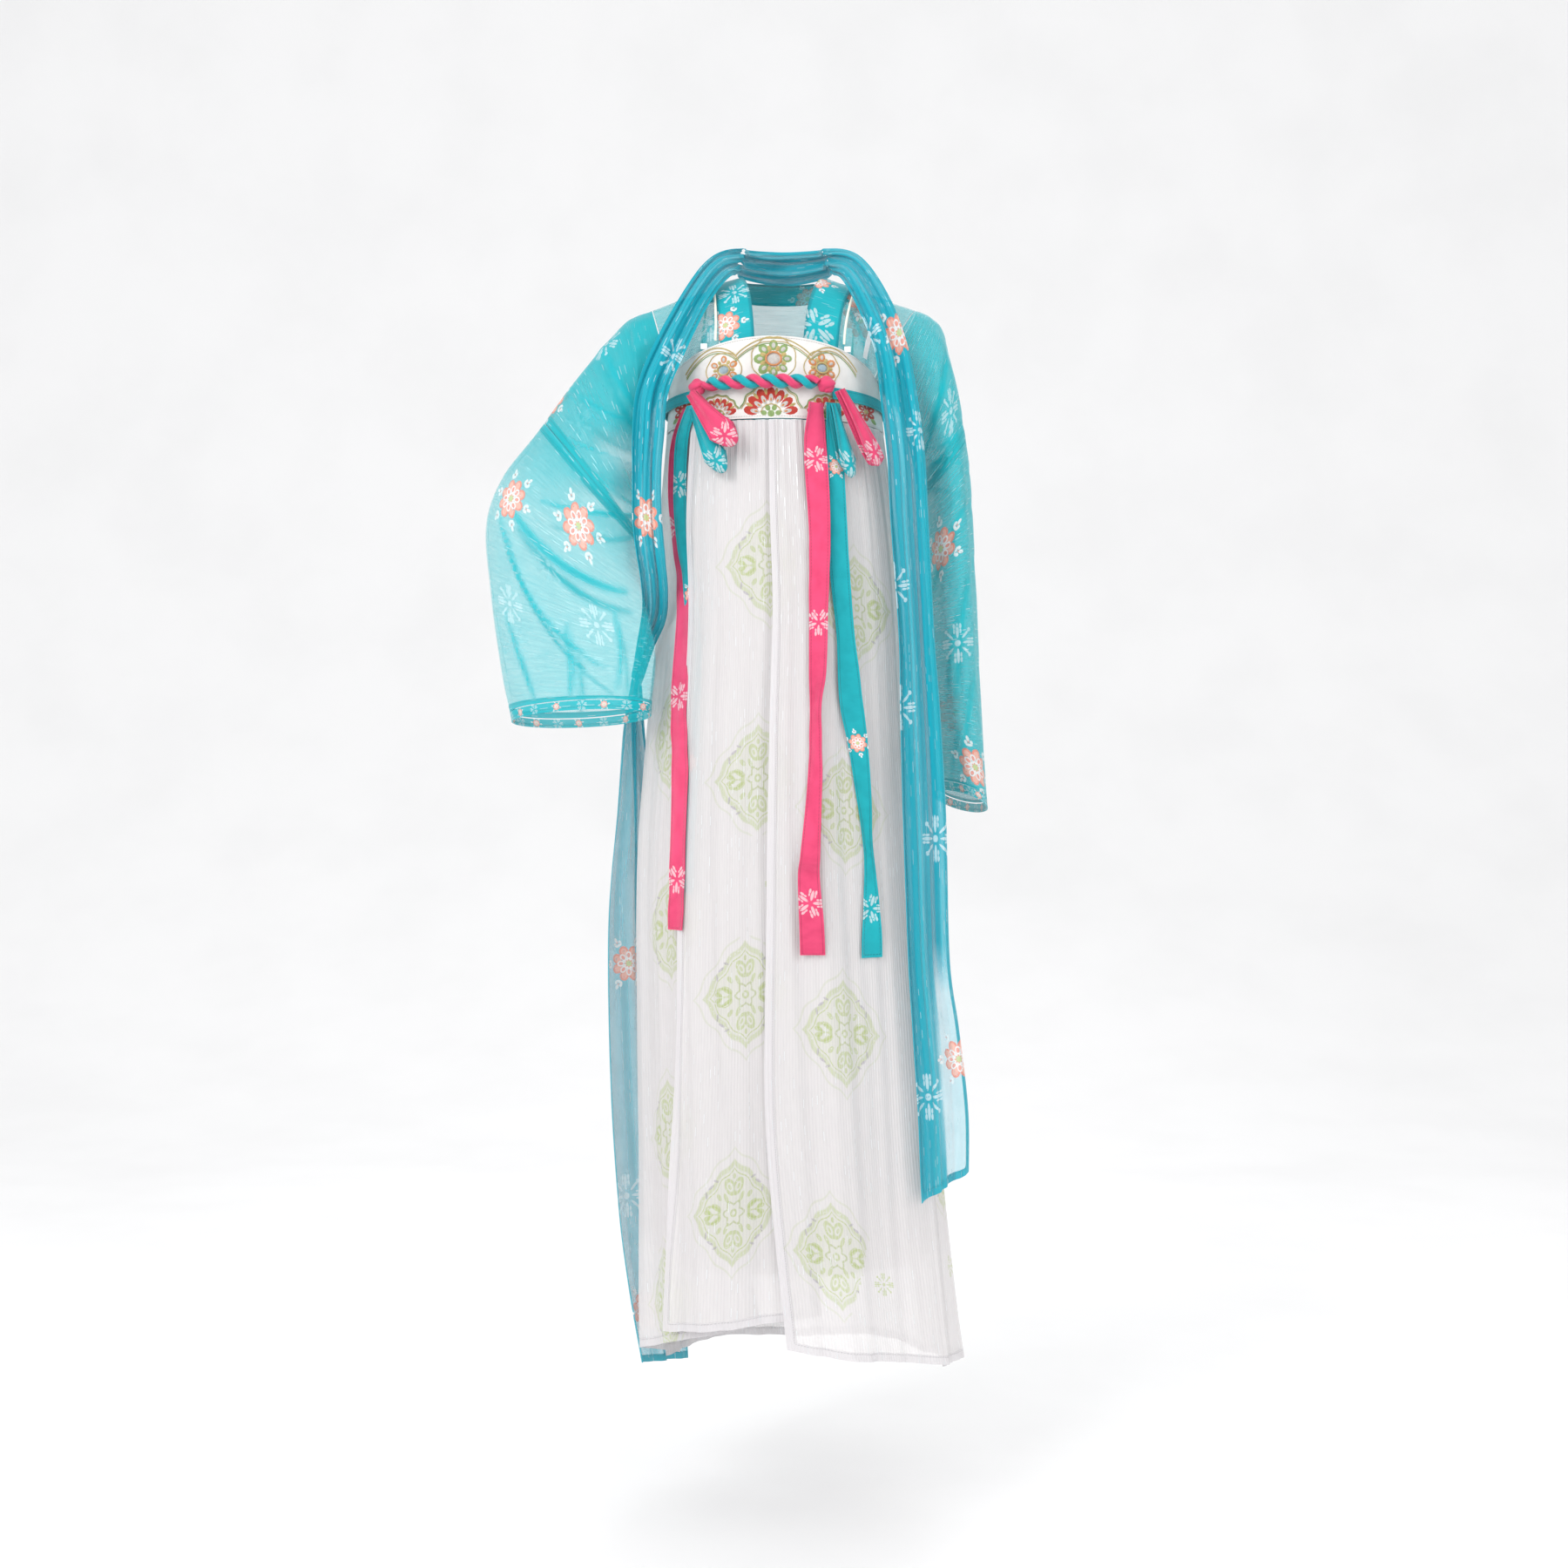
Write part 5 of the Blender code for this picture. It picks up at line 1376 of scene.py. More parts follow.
class HANFU_OT_collar(bpy.types.Operator):
    """Sew the collar band: two fronts and the back of the neck"""

    bl_idname = "hanfu.sew_collar"
    bl_label = "Collar"

    def execute(self, context):
        cloth = cloth_finish("collar_chiffon")
        for side, word in ((-1, "right"), (1, "left")):
            u, v = grid(14, 120)
            tries = np.linspace(0.0, 1.0, 121)
            shares = []
            for height in v[:, 0]:
                row = blouse_front(side, tries, np.full_like(tries, height))
                away = np.linalg.norm(row - row[:1], axis=-1)
                shares.append(np.interp(COLLAR_WIDTH, away, tries))
            share = np.array(shares)[:, None] * u
            points = lifted(partial(blouse_front, side), share, np.maximum(v, 0.002), COLLAR_LIFT)
            self.sew("collar_" + word, points, u, v, cloth)
        u, v = grid(70, 14)
        side = (u - 0.5) * 2
        around = 0.5 + side * (NECK_SHARE / 2 - 0.001)
        out = v * (COLLAR_WIDTH / 0.130) / (1 - NECK_SHARE) / 2 * np.abs(side) ** 3 * np.sign(side)
        down = v * 0.34 * np.sqrt(np.maximum(1 - np.abs(side) ** 3, 0.0))
        points = lifted(back_to_arm, around + out, np.maximum(down, 0.004), COLLAR_LIFT)
        self.sew("collar_neck", points, u, v, cloth, across=True)
        return {"FINISHED"}

    def sew(self, name, points, u, v, cloth, across=False):
        s, t = measure(points)
        share = v if across else u
        folded = 0.0007 * np.cos((share - 0.5) * math.pi) + 0.0004 * np.sin((t if not across else s) * 95)
        points = raised(points, folded * 0.8)
        edge = np.minimum(share, 1 - share) * COLLAR_WIDTH * 0.5 + COLLAR_HEM
        sheet = lay(name, points, sizes().tie_wall, cloth, motifs=COLLAR_MOTIFS, edge=edge)
        declare(sheet)


class HANFU_OT_sleeves(bpy.types.Operator):
    """Sew each sleeve in two lengths, with its hem band"""

    bl_idname = "hanfu.sew_sleeves"
    bl_label = "Sleeves"

    def execute(self, context):
        cloth = cloth_finish("blouse_chiffon")
        for side, word in ((-1, "right"), (1, "left")):
            creases = RIGHT_SLEEVE_CREASES if side < 0 else LEFT_SLEEVE_CREASES
            seam = SLEEVE_SEAM[side]
            spans = (
                ("upper", SLEEVE_START, seam - SEAM_GAP, 64),
                ("lower", seam + SEAM_GAP, SLEEVE_END, 90),
            )
            for part, start, end, rows in spans:
                u, v = grid(120, rows)
                share, turn = start + (end - start) * v, 360 * u
                points = on_sleeve(side, share, turn)
                t = measure(points)[1]
                front = np.clip(np.sin(np.radians(turn)) * 3, 0.0, 1.0)
                back = np.clip(-np.sin(np.radians(turn)) * 3, 0.0, 1.0)
                near, far = trough(points, front, creases), trough(points, back, creases, away=True)
                depth = (near[0] + far[0]) * sizes().crease_depth
                ends = np.clip(np.minimum(v, 1 - v) * 14, 0.0, 1.0)
                around = np.sin(np.radians(turn * 2 + 40)) * np.sin(np.radians(turn * 5) + share * 9)
                fine = 0.0005 * np.sin(np.radians(turn * 11) + 14 * share)
                height = ends * (-depth + 0.0009 * around + fine)
                outer = raised(points, height)
                if side < 0 and part == "lower":
                    lower = np.clip((v - 0.5) * 2, 0.0, 1.0)
                    outer[..., 2] += CUFF_TILT * np.sin(np.radians(turn)) * lower**2
                rest = 0.66 * np.clip(1.45 - share / 0.40, 0.02, 1.0) if side < 0 else 0.40
                for x, low, wide, tall, lean in WINDOWS if side < 0 else ():
                    off, down = points[..., 0] - x, -points[..., 2] - low - lean * (points[..., 0] - x)
                    rest = rest * (1 - np.exp(-((off / wide) ** 4) - (down / tall) ** 4))
                # Painted crease shade along the creases of both walls, on top of the share of the back wall
                # that shows through.
                dense = np.clip(near[1] + far[1] * 0.7, 0.0, 1.0) * 0.85 + rest
                edge = np.minimum(v, 1 - v) * t[-1].mean() + 0.004
                if part == "upper":
                    edge = np.where(v < 0.5, 1.0, edge)
                sheet = lay(
                    "sleeve_%s_%s" % (word, part),
                    outer,
                    sizes().sheer_wall,
                    cloth,
                    ring=True,
                    motifs=SLEEVE_MOTIFS,
                    dense=dense,
                    edge=edge,
                )
                declare(sheet)
                if side < 0 and part == "upper":
                    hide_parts("sleeve_right_shoulder")
            u, v = grid(120, 4)
            rim = on_sleeve(side, np.ones_like(u), 360 * u)
            inner = on_sleeve(side, np.full_like(u, 0.97), 360 * u)
            tilt = CUFF_TILT * np.sin(2 * math.pi * u) if side < 0 else 0.0
            beyond = unit(rim - inner) * (CUFF_GAP + CUFF_DEPTH * v)[..., None]
            points = spot(0.0, 0.0, tilt + 0 * u) + rim + beyond
            edge = (1 - v) * CUFF_DEPTH + 0.0055
            marks = [(0.5, (step + 0.5) / 18, (1, 4)[step % 2], 0.0075, 40 * step) for step in range(18)]
            name = "sleeve_%s_hem" % word
            sheet = lay(
                name, points, sizes().tie_wall, cloth, ring=True, motifs=marks, dense=0.75, edge=edge
            )
            declare(sheet)
        return {"FINISHED"}


class HANFU_OT_skirt(bpy.types.Operator):
    """Sew the skirt's five lapped panels and its lining"""

    bl_idname = "hanfu.sew_skirt"
    bl_label = "Skirt"

    def execute(self, context):
        cloth = cloth_finish("ribbed_voile")
        depth = sizes().pleat_depth
        for panel in SKIRT_PANELS:
            u, v = grid(panel.columns, panel.rows)
            start = along([(angle,) for angle in panel.start], v)[0]
            end = along([(angle,) for angle in panel.end], v)[0]
            hem = panel.start_drop + (panel.end_drop - panel.start_drop) * u
            top = BAND_BOTTOM + LINED_WALL
            drop = top + (hem - top) * v
            lift = (panel.start_lift + (panel.end_lift - panel.start_lift) * u) * np.minimum(0.5 + v * 4, 1.0)
            angle = start + (end - start) * u
            curl = 0.0
            if panel.name == "skirt_front_left":
                curl = 0.004 * np.exp(-((u / 0.03) ** 2)) * np.clip(v * 5 - 0.8, 0, 1)
                curl = curl * (0.7 + 0.3 * np.sin(9 * v))
            points = on_skirt(angle, drop, lift + ripples(angle, drop) * depth + curl)
            s, t = measure(points)
            edge = hemmed(u, v, s[:, -1].mean(), t[-1].mean(), ("low", "left", "right"))
            gathered = np.clip(1.1 - (drop - BAND_BOTTOM) / 0.06, 0.0, 1.0) * 0.35
            near, far = PRINTED.get(panel.name, (1.0, 1.0))
            marks = [mark for mark in SKIRT_MOTIFS if near <= mark.x < far]
            if panel.name in ("skirt_side_left", "skirt_back"):
                marks = self.lattice(s[:, -1].mean(), t[-1].mean())
            sheet = lay(
                panel.name, points, sizes().sheer_wall, cloth, motifs=marks, dense=gathered, edge=edge
            )
            declare(sheet)
        u, v = grid(160, 60)
        top = BAND_BOTTOM + LINED_WALL
        drop = top + (LINING_HEM - top) * v
        inset = LINING_CLEARANCE * np.minimum(0.5 + v * 3, 1.0)
        points = on_ring(SKIRT_RINGS, 360 * u, drop, LINING_FOLD * fold_depth(360 * u, drop) - inset)
        lining = cloth_finish("lining_cloth")
        edge = (1 - v) * LINING_LENGTH
        sheet = lay("skirt_lining", points, sizes().sheer_wall, lining, ring=True, edge=edge)
        declare(sheet)
        return {"FINISHED"}

    def lattice(self, wide, long):
        """Medallions in staggered columns, with small stars between them."""
        made = []
        columns = max(int(wide / MEDALLION_COLUMN), 1)
        for column in range(columns):
            u = (column + 0.5) / columns
            shift = 0.5 * (column % 2)
            for row in range(5):
                v = (0.16 + (row + shift) * MEDALLION_STEP) / long
                if v < 0.98:
                    made.append((v, u, 3, MEDALLION_SIZE, 0))
                middle = v + 0.127 / long
                if middle < 0.97 and (row + column) % 2:
                    made.append((middle, u, 2, SMALL_STAR_SIZE, 0))
        return made


class HANFU_OT_chest_band(bpy.types.Operator):
    """Sew the chest band and embroider its front"""

    bl_idname = "hanfu.embroider_band"
    bl_label = "Chest band"

    def execute(self, context):
        cloth = cloth_finish("satin_band")
        for word, start, end in (("front", -89.85, 89.85), ("back", 90.15, 269.85)):
            u, v = grid(150, 18)
            angle = start + (end - start) * u
            top = band_top(angle)
            drop = top + (BAND_BOTTOM - top) * v
            swell = 0.0005 * np.sin(math.pi * v) * np.sin(np.radians(angle * 9))
            points = on_ring(SKIRT_RINGS, angle, drop, swell)
            edge = np.minimum(v, 1 - v) * 0.1
            sheet = lay("skirt_band_" + word, points, LINED_WALL, cloth, edge=edge)
            made = self.embroider() if word == "front" else self.top_cord()
            declare(sheet)
            for stitched in made:
                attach(stitched, "root")
        return {"FINISHED"}

    def over(self, x, drop, lift):
        """A point on the band's front, by how far it lies to the side and how far down."""
        drop = np.asarray(drop, float)
        _, right, left, _, _ = along(SKIRT_RINGS, drop, [ring.drop for ring in SKIRT_RINGS])
        angle = np.degrees(np.arcsin(np.clip((x - (left + right) / 2) / ((left - right) / 2), -0.999, 0.999)))
        return on_ring(SKIRT_RINGS, angle, drop, LINED_WALL / 2 + lift)

    def embroider(self):
        """Couched gold arches, round flowers and fans of petals, each colour one piece."""
        heaps = {}

        def heap(thread):
            return heaps.setdefault(thread, bmesh.new())

        def path(points, radius, thread):
            self.couch(heap(thread), points, radius)

        def petal(x, drop, turn, long, wide, thread, high=0.0016):
            self.petal(heap(thread), x, drop, math.radians(turn), long, wide, high)

        radius = sizes().stitch_radius
        share = np.linspace(0.0, 1.0, 40)
        for inset, thread, thick in (
            (0.0, "gold_thread", radius),
            (0.0042, "gold_thread", radius * 0.7),
            (0.0065, "green_thread", radius * 0.7),
        ):
            for start, end, foot, far_foot, rise in (
                (-0.1195, -0.058, 0.108, 0.093, 0.018),
                (-0.058, 0.0325, 0.093, 0.093, 0.021),
                (0.0325, 0.088, 0.093, 0.106, 0.018),
            ):
                x = start + (end - start) * share
                drop = foot + (far_foot - foot) * share - rise * np.sin(math.pi * share) ** 0.8
                drop = np.maximum(drop, band_top(np.degrees(np.arcsin((x + 0.014) / 0.133))) + 0.003) + inset
                path(self.over(x * (1 - inset * 2), drop, 0.0004), thick, thread)

        def ring_of(x, drop, turns, out, long, wide, thread, high=0.0016):
            for turn in turns:
                swing = math.radians(turn)
                petal(x + math.sin(swing) * out, drop - math.cos(swing) * out, turn, long, wide, thread, high)

        swing = share * 2 * math.pi
        for x, drop, reach, count, outer, inner, core in (
            (-0.0126, 0.0980, 0.0165, 8, "green_thread", "orange_thread", "white_thread"),
            (-0.0723, 0.1095, 0.0130, 6, "orange_thread", "gold_thread", "blue_thread"),
            (0.0451, 0.1070, 0.0130, 6, "orange_thread", "gold_thread", "blue_thread"),
        ):
            around = [360 / count * step for step in range(count)]
            between = [turn + 180 / count for turn in around]
            ring_of(x, drop, around, reach, reach * 0.46, reach * 0.37, outer, 0.0012)
            ring_of(x, drop, around, reach * 0.98, reach * 0.28, reach * 0.20, "white_thread", 0.0017)
            ring_of(x, drop, between, reach * 0.80, reach * 0.26, reach * 0.20, "gold_thread", 0.0014)
            scallop = reach * (1.56 + 0.10 * np.abs(np.sin(count * swing / 2)))
            edging = self.over(x + np.sin(swing) * scallop, drop - np.cos(swing) * scallop, 0.0005)
            path(edging, radius * 0.8, "gold_thread")
            heart = self.over(x + np.sin(swing) * reach * 0.55, drop - np.cos(swing) * reach * 0.48, 0.0012)
            path(heart, radius * 1.6, inner)
            petal(x, drop, 90, reach * 0.52, reach * 0.44, core, 0.0018)
        for x, drop, size, spread in (
            (-0.0155, 0.1655, 1.0, 78),
            (-0.0800, 0.1660, 0.72, 72),
            (0.0500, 0.1660, 0.72, 72),
        ):
            fan = np.linspace(-spread, spread, 7)
            ring_of(x, drop, fan, 0.0245 * size, 0.0098 * size, 0.0062 * size, "red_thread", 0.0014)
            ring_of(x, drop, fan, 0.0205 * size, 0.0070 * size, 0.0036 * size, "white_thread", 0.0019)
            ring_of(x, drop, fan, 0.0185 * size, 0.0036 * size, 0.0018 * size, "orange_thread", 0.0022)
            between = (fan[1:] + fan[:-1]) / 2
            ring_of(x, drop, between, 0.0285 * size, 0.0050 * size, 0.0022 * size, "gold_thread", 0.0014)
            ring_of(x, drop, fan[::2], 0.0088 * size, 0.0040 * size, 0.0034 * size, "green_thread", 0.0015)
            bow = np.radians((share - 0.5) * 2 * spread)
            for out, thread in ((0.0125, "gold_thread"), (0.0352, "gold_thread"), (0.0372, "green_thread")):
                lobe = out * size * (1 + 0.03 * np.cos(share * 12 * math.pi))
                edging = self.over(x + np.sin(bow) * lobe, drop - np.cos(bow) * lobe, 0.0006)
                path(edging, radius * 0.8, thread)
            petal(x, drop - 0.001, 0, 0.0046 * size, 0.0046 * size, "green_thread", 0.0018)
        for x, drop in ((-0.1235, 0.152), (0.1000, 0.153)):
            turns = range(0, 360, 60)
            ring_of(x, drop, turns, 0.0072, 0.0054, 0.0040, "red_thread", 0.0014)
            ring_of(x, drop, turns, 0.0066, 0.0026, 0.0016, "white_thread", 0.0018)
            petal(x, drop, 0, 0.0032, 0.0032, "gold_thread", 0.002)
            ring_of(x, drop, (45, 135, 225, 315), 0.0138, 0.0050, 0.0028, "green_thread", 0.0012)
        made = []
        for thread, mesh in heaps.items():
            name = "embroidery_" + thread.replace("_thread", "")
            made.append(self.finish_heap(name, mesh, cloth_finish(thread)))
        return made

    def top_cord(self):
        """A plain cord along the back band's top edge."""
        mesh = bmesh.new()
        angle = np.linspace(92, 268, 90)
        route = on_ring(SKIRT_RINGS, angle, band_top(angle) + 0.004, LINED_WALL / 2 + 0.0004)
        self.couch(mesh, route, sizes().stitch_radius)
        return [self.finish_heap("embroidery_back_cord", mesh, cloth_finish("gold_thread"))]

    def couch(self, mesh, points, radius, sides=6):
        """A closed round cord laid along points."""
        travel = unit(np.gradient(points, axis=0))
        out = points * np.array((1.0, 1.0, 0.0))
        side = unit(np.cross(travel, unit(out)))
        up = unit(np.cross(side, travel))
        rings = []
        for point, across, above in zip(points, side, up):
            ring = []
            for step in range(sides):
                swing = 2 * math.pi * step / sides
                beside = point + across * radius * math.cos(swing)
                ring.append(mesh.verts.new(beside + above * radius * math.sin(swing)))
            rings.append(ring)
        for near, far in zip(rings, rings[1:]):
            for step in range(sides):
                after = (step + 1) % sides
                mesh.faces.new((near[step], near[after], far[after], far[step]))
        mesh.faces.new(rings[0][::-1])
        mesh.faces.new(rings[-1])

    def petal(self, mesh, x, drop, turn, long, wide, high):
        """A padded satin-stitch petal, domed on its top and closed below."""
        rings, count = 3, 10
        layers = []
        for ring in range(rings + 1):
            reach = ring / rings
            row = []
            for step in range(count if ring else 1):
                swing = 2 * math.pi * step / count
                side, forward = math.sin(swing) * wide * reach, math.cos(swing) * long * reach
                px = x + side * math.cos(turn) + forward * math.sin(turn)
                pd = drop - forward * math.cos(turn) + side * math.sin(turn)
                lift = high * math.sqrt(max(1 - reach**2, 0.0)) - 0.0003
                row.append(mesh.verts.new(self.over(np.array(px), np.array(pd), lift)))
            layers.append(row)
        crown = layers[0][0]
        for step in range(count):
            mesh.faces.new((crown, layers[1][step], layers[1][(step + 1) % count]))
        for near, far in zip(layers[1:], layers[2:]):
            for step in range(count):
                after = (step + 1) % count
                mesh.faces.new((near[step], far[step], far[after], near[after]))
        mesh.faces.new(layers[-1])

    def finish_heap(self, name, mesh, finish):
        data = bpy.data.meshes.new(name)
        bmesh.ops.recalc_face_normals(mesh, faces=mesh.faces)
        mesh.to_mesh(data)
        mesh.free()
        piece = bpy.data.objects.new(name, data)
        bpy.context.scene.collection.objects.link(piece)
        data.materials.append(finish)
        choose(piece)
        bpy.ops.object.shade_smooth_by_angle(angle=math.radians(60))
        return piece


class HANFU_OT_ties(bpy.types.Operator):
    """Make the flat tie, the twisted roll, the knots, the bows and the tails"""

    bl_idname = "hanfu.tie_bows"
    bl_label = "Ties"

    def execute(self, context):
        lap = KNOT_LAP
        wall = sizes().tie_wall
        pink, teal = cloth_finish("pink_ribbon"), cloth_finish("teal_ribbon")
        u, v = grid(220, 8)
        angle = LEFT_KNOT_ANGLE + lap + (360 + RIGHT_KNOT_ANGLE - LEFT_KNOT_ANGLE - 2 * lap) * u
        drop = TIE_DROP + 0.008 * np.sin(math.pi * u) + TIE_HEIGHT * (v - 0.5)
        swell = 0.0004 * np.sin(np.radians(angle * 7)) * np.sin(math.pi * v)
        points = on_ring(SKIRT_RINGS, angle, drop, TIE_LIFT + swell)
        sheet = lay("tie_band", points, wall, teal, edge=np.minimum(v, 1 - v) * TIE_HEIGHT)
        declare(sheet)
        for name, start, cloth, slot in (
            ("roll_pink", 0.0, pink, "pink_tie"),
            ("roll_teal", math.pi, teal, "teal_tie"),
        ):
            sheet = self.strand(name, start, lap, cloth)
            declare(sheet)
        for name, angle in (("knot_left", LEFT_KNOT_ANGLE), ("knot_right", RIGHT_KNOT_ANGLE)):
            sheet = self.knot(name, angle, pink)
            declare(sheet)
        for loop in LOOPS:
            u, v = grid(72, 14)
            points = on_loop(loop, u, v)
            pinch = np.minimum(u, 1 - u)
            folds = np.sin(v * 2 * math.pi * 1.5 + 1.0) * np.exp(-((pinch / 0.25) ** 2)) * 0.0011
            soft = np.sin(v * 2 * math.pi * 1.6 + 0.6 * np.sin(7 * u)) * (0.0012 * np.sin(math.pi * u))
            outer = raised(points, folds + soft + 0.0005 * np.sin(9 * u + 3 * v))
            cloth, slot = (pink, "pink_tie") if "pink" in loop.name else (teal, "teal_tie")
            marks = [(0.5, 0.32, 4, 0.019, 30), (0.5, 0.70, 4, 0.019, -30)]
            edge = np.minimum(v, 1 - v) * loop.width
            # Painted shade: darker where the loop is pinched into the knot, at the fold round its tip and in
            # the troughs of its soft folds.
            dense = np.exp(-((pinch / 0.12) ** 2)) * 0.7 + 0.8 * np.exp(-(((u - 0.5) / 0.05) ** 2))
            dense = np.clip(dense + np.clip(-soft / 0.0012, 0, 1) * 0.5, 0.0, 1.0)
            sheet = lay(loop.name, outer, wall, cloth, motifs=marks, edge=edge, dense=dense)
            # Each loop's cut narrows to the knot at both its ends.
            taper = round(LOOP_TAPER * sheet.wide * sheet.long, 5)
            node = "knot_left" if "left" in loop.name else "knot_right"
            declare(sheet)
        for name, rows, marks in (
            (
                "tail_left_pink",
                LEFT_PINK_TAIL,
                ((0.10, 0.5, 4, 0.018, 10), (0.33, 0.5, 4, 0.018, 60), (0.86, 0.5, 4, 0.019, 0)),
            ),
            (
                "tail_left_teal",
                LEFT_TEAL_TAIL,
                ((0.10, 0.5, 1, 0.016, 0), (0.55, 0.5, 1, 0.018, 30), (0.94, 0.4, 4, 0.019, 0)),
            ),
            (
                "tail_right_pink",
                RIGHT_PINK_TAIL,
                ((0.33, 0.45, 4, 0.019, 20), (0.90, 0.5, 4, 0.019, 70), (0.62, 0.5, 4, 0.019, 0)),
            ),
            (
                "tail_right_teal",
                RIGHT_TEAL_TAIL,
                ((0.59, 0.5, 1, 0.017, 0), (0.84, 0.5, 1, 0.017, 40), (0.30, 0.5, 4, 0.018, 0)),
            ),
        ):
            count = int(rows[-1].drop * 330)
            u, v = grid(14, count)
            points = on_tail(rows, u, v)
            s, t = measure(points)
            curl = 0.0006 * np.sin(t * 83 + 2 * np.sin(t * 31)) * (u - 0.5) * 2
            outer = raised(points, curl + 0.0007 * np.sin(u * math.pi * 2 + t * 17))
            edge = np.minimum(np.minimum(u, 1 - u) * s[:, -1:], (1 - v) * t[-1].mean())
            cloth, slot = (pink, "pink_tie") if "pink" in name else (teal, "teal_tie")
            sheet = lay(name, outer, wall, cloth, motifs=marks, edge=edge)
            node = "knot_left" if "left" in name else "knot_right"
            declare(sheet)
        return {"FINISHED"}

    def strand(self, name, start, lap, cloth):
        """One twisted strand of the roll, its ribbon wound tight with creases along it."""
        u, v = grid(24, 160)
        span = LEFT_KNOT_ANGLE - RIGHT_KNOT_ANGLE - 2 * lap
        share = v[:, 0]
        angle = RIGHT_KNOT_ANGLE + lap + span * share
        swing = start + 2 * math.pi * STRAND_TURNS * share
        tight = 1 - 0.18 * np.exp(-((np.minimum(share, 1 - share) / 0.06) ** 2))
        drop = ROLL_DROP + STRAND_SPREAD * np.sin(swing)
        middle = on_ring(SKIRT_RINGS, angle, drop, ROLL_LIFT + STRAND_SPREAD * np.cos(swing))
        travel = unit(np.gradient(middle, axis=0))
        side = unit(np.cross(travel, outward(angle)))
        up = np.cross(side, travel)
        turn = 2 * math.pi * u + swing[:, None]
        crease = 1 + 0.06 * np.sin(3 * turn + 2 * swing[:, None]) + 0.04 * np.sin(7 * turn + 50 * v)
        radius = STRAND_RADIUS * tight[:, None] * crease
        points = middle[:, None] + side[:, None] * (radius * np.cos(turn))[..., None]
        points = points + up[:, None] * (radius * np.sin(turn))[..., None]
        # Painted shade in the hollows of the strand's creases.
        dense = np.clip((1.02 - crease) * 8, 0.0, 0.8)
        return lay(name, points, sizes().tie_wall * 0.7, cloth, ring=True, dense=dense)

    def knot(self, name, angle, cloth):
        """A wrapped knot, grooved where the ribbon passes over itself."""
        u, v = grid(48, 32)
        centre = on_ring(SKIRT_RINGS, np.array(float(angle)), np.array(ROLL_DROP + 0.002), ROLL_LIFT)
        around, down = 2 * math.pi * u, math.pi * (0.02 + 0.96 * v)
        groove = np.exp(-((np.sin(down - 1.4 + 0.5 * around) / 0.16) ** 2))
        wraps = 1 + 0.07 * np.cos(5 * down + 1.5 * np.sin(around)) - 0.12 * groove
        local = spot(
            0.0112 * np.cos(around) * np.sin(down) * wraps,
            0.0080 * np.sin(around) * np.sin(down) * wraps,
            0.0096 * np.cos(down) * wraps,
        )
        turn = math.radians(angle)
        x = local[..., 0] * math.cos(turn) - local[..., 1] * math.sin(turn)
        y = local[..., 0] * math.sin(turn) + local[..., 1] * math.cos(turn)
        points = centre + spot(x, y, local[..., 2])
        # Painted shade in the grooves where the ribbon passes over itself.
        dense = np.clip((1 - wraps) * 5, 0.0, 0.9)
        return lay(name, points, sizes().tie_wall * 0.7, cloth, ring=True, dense=dense)


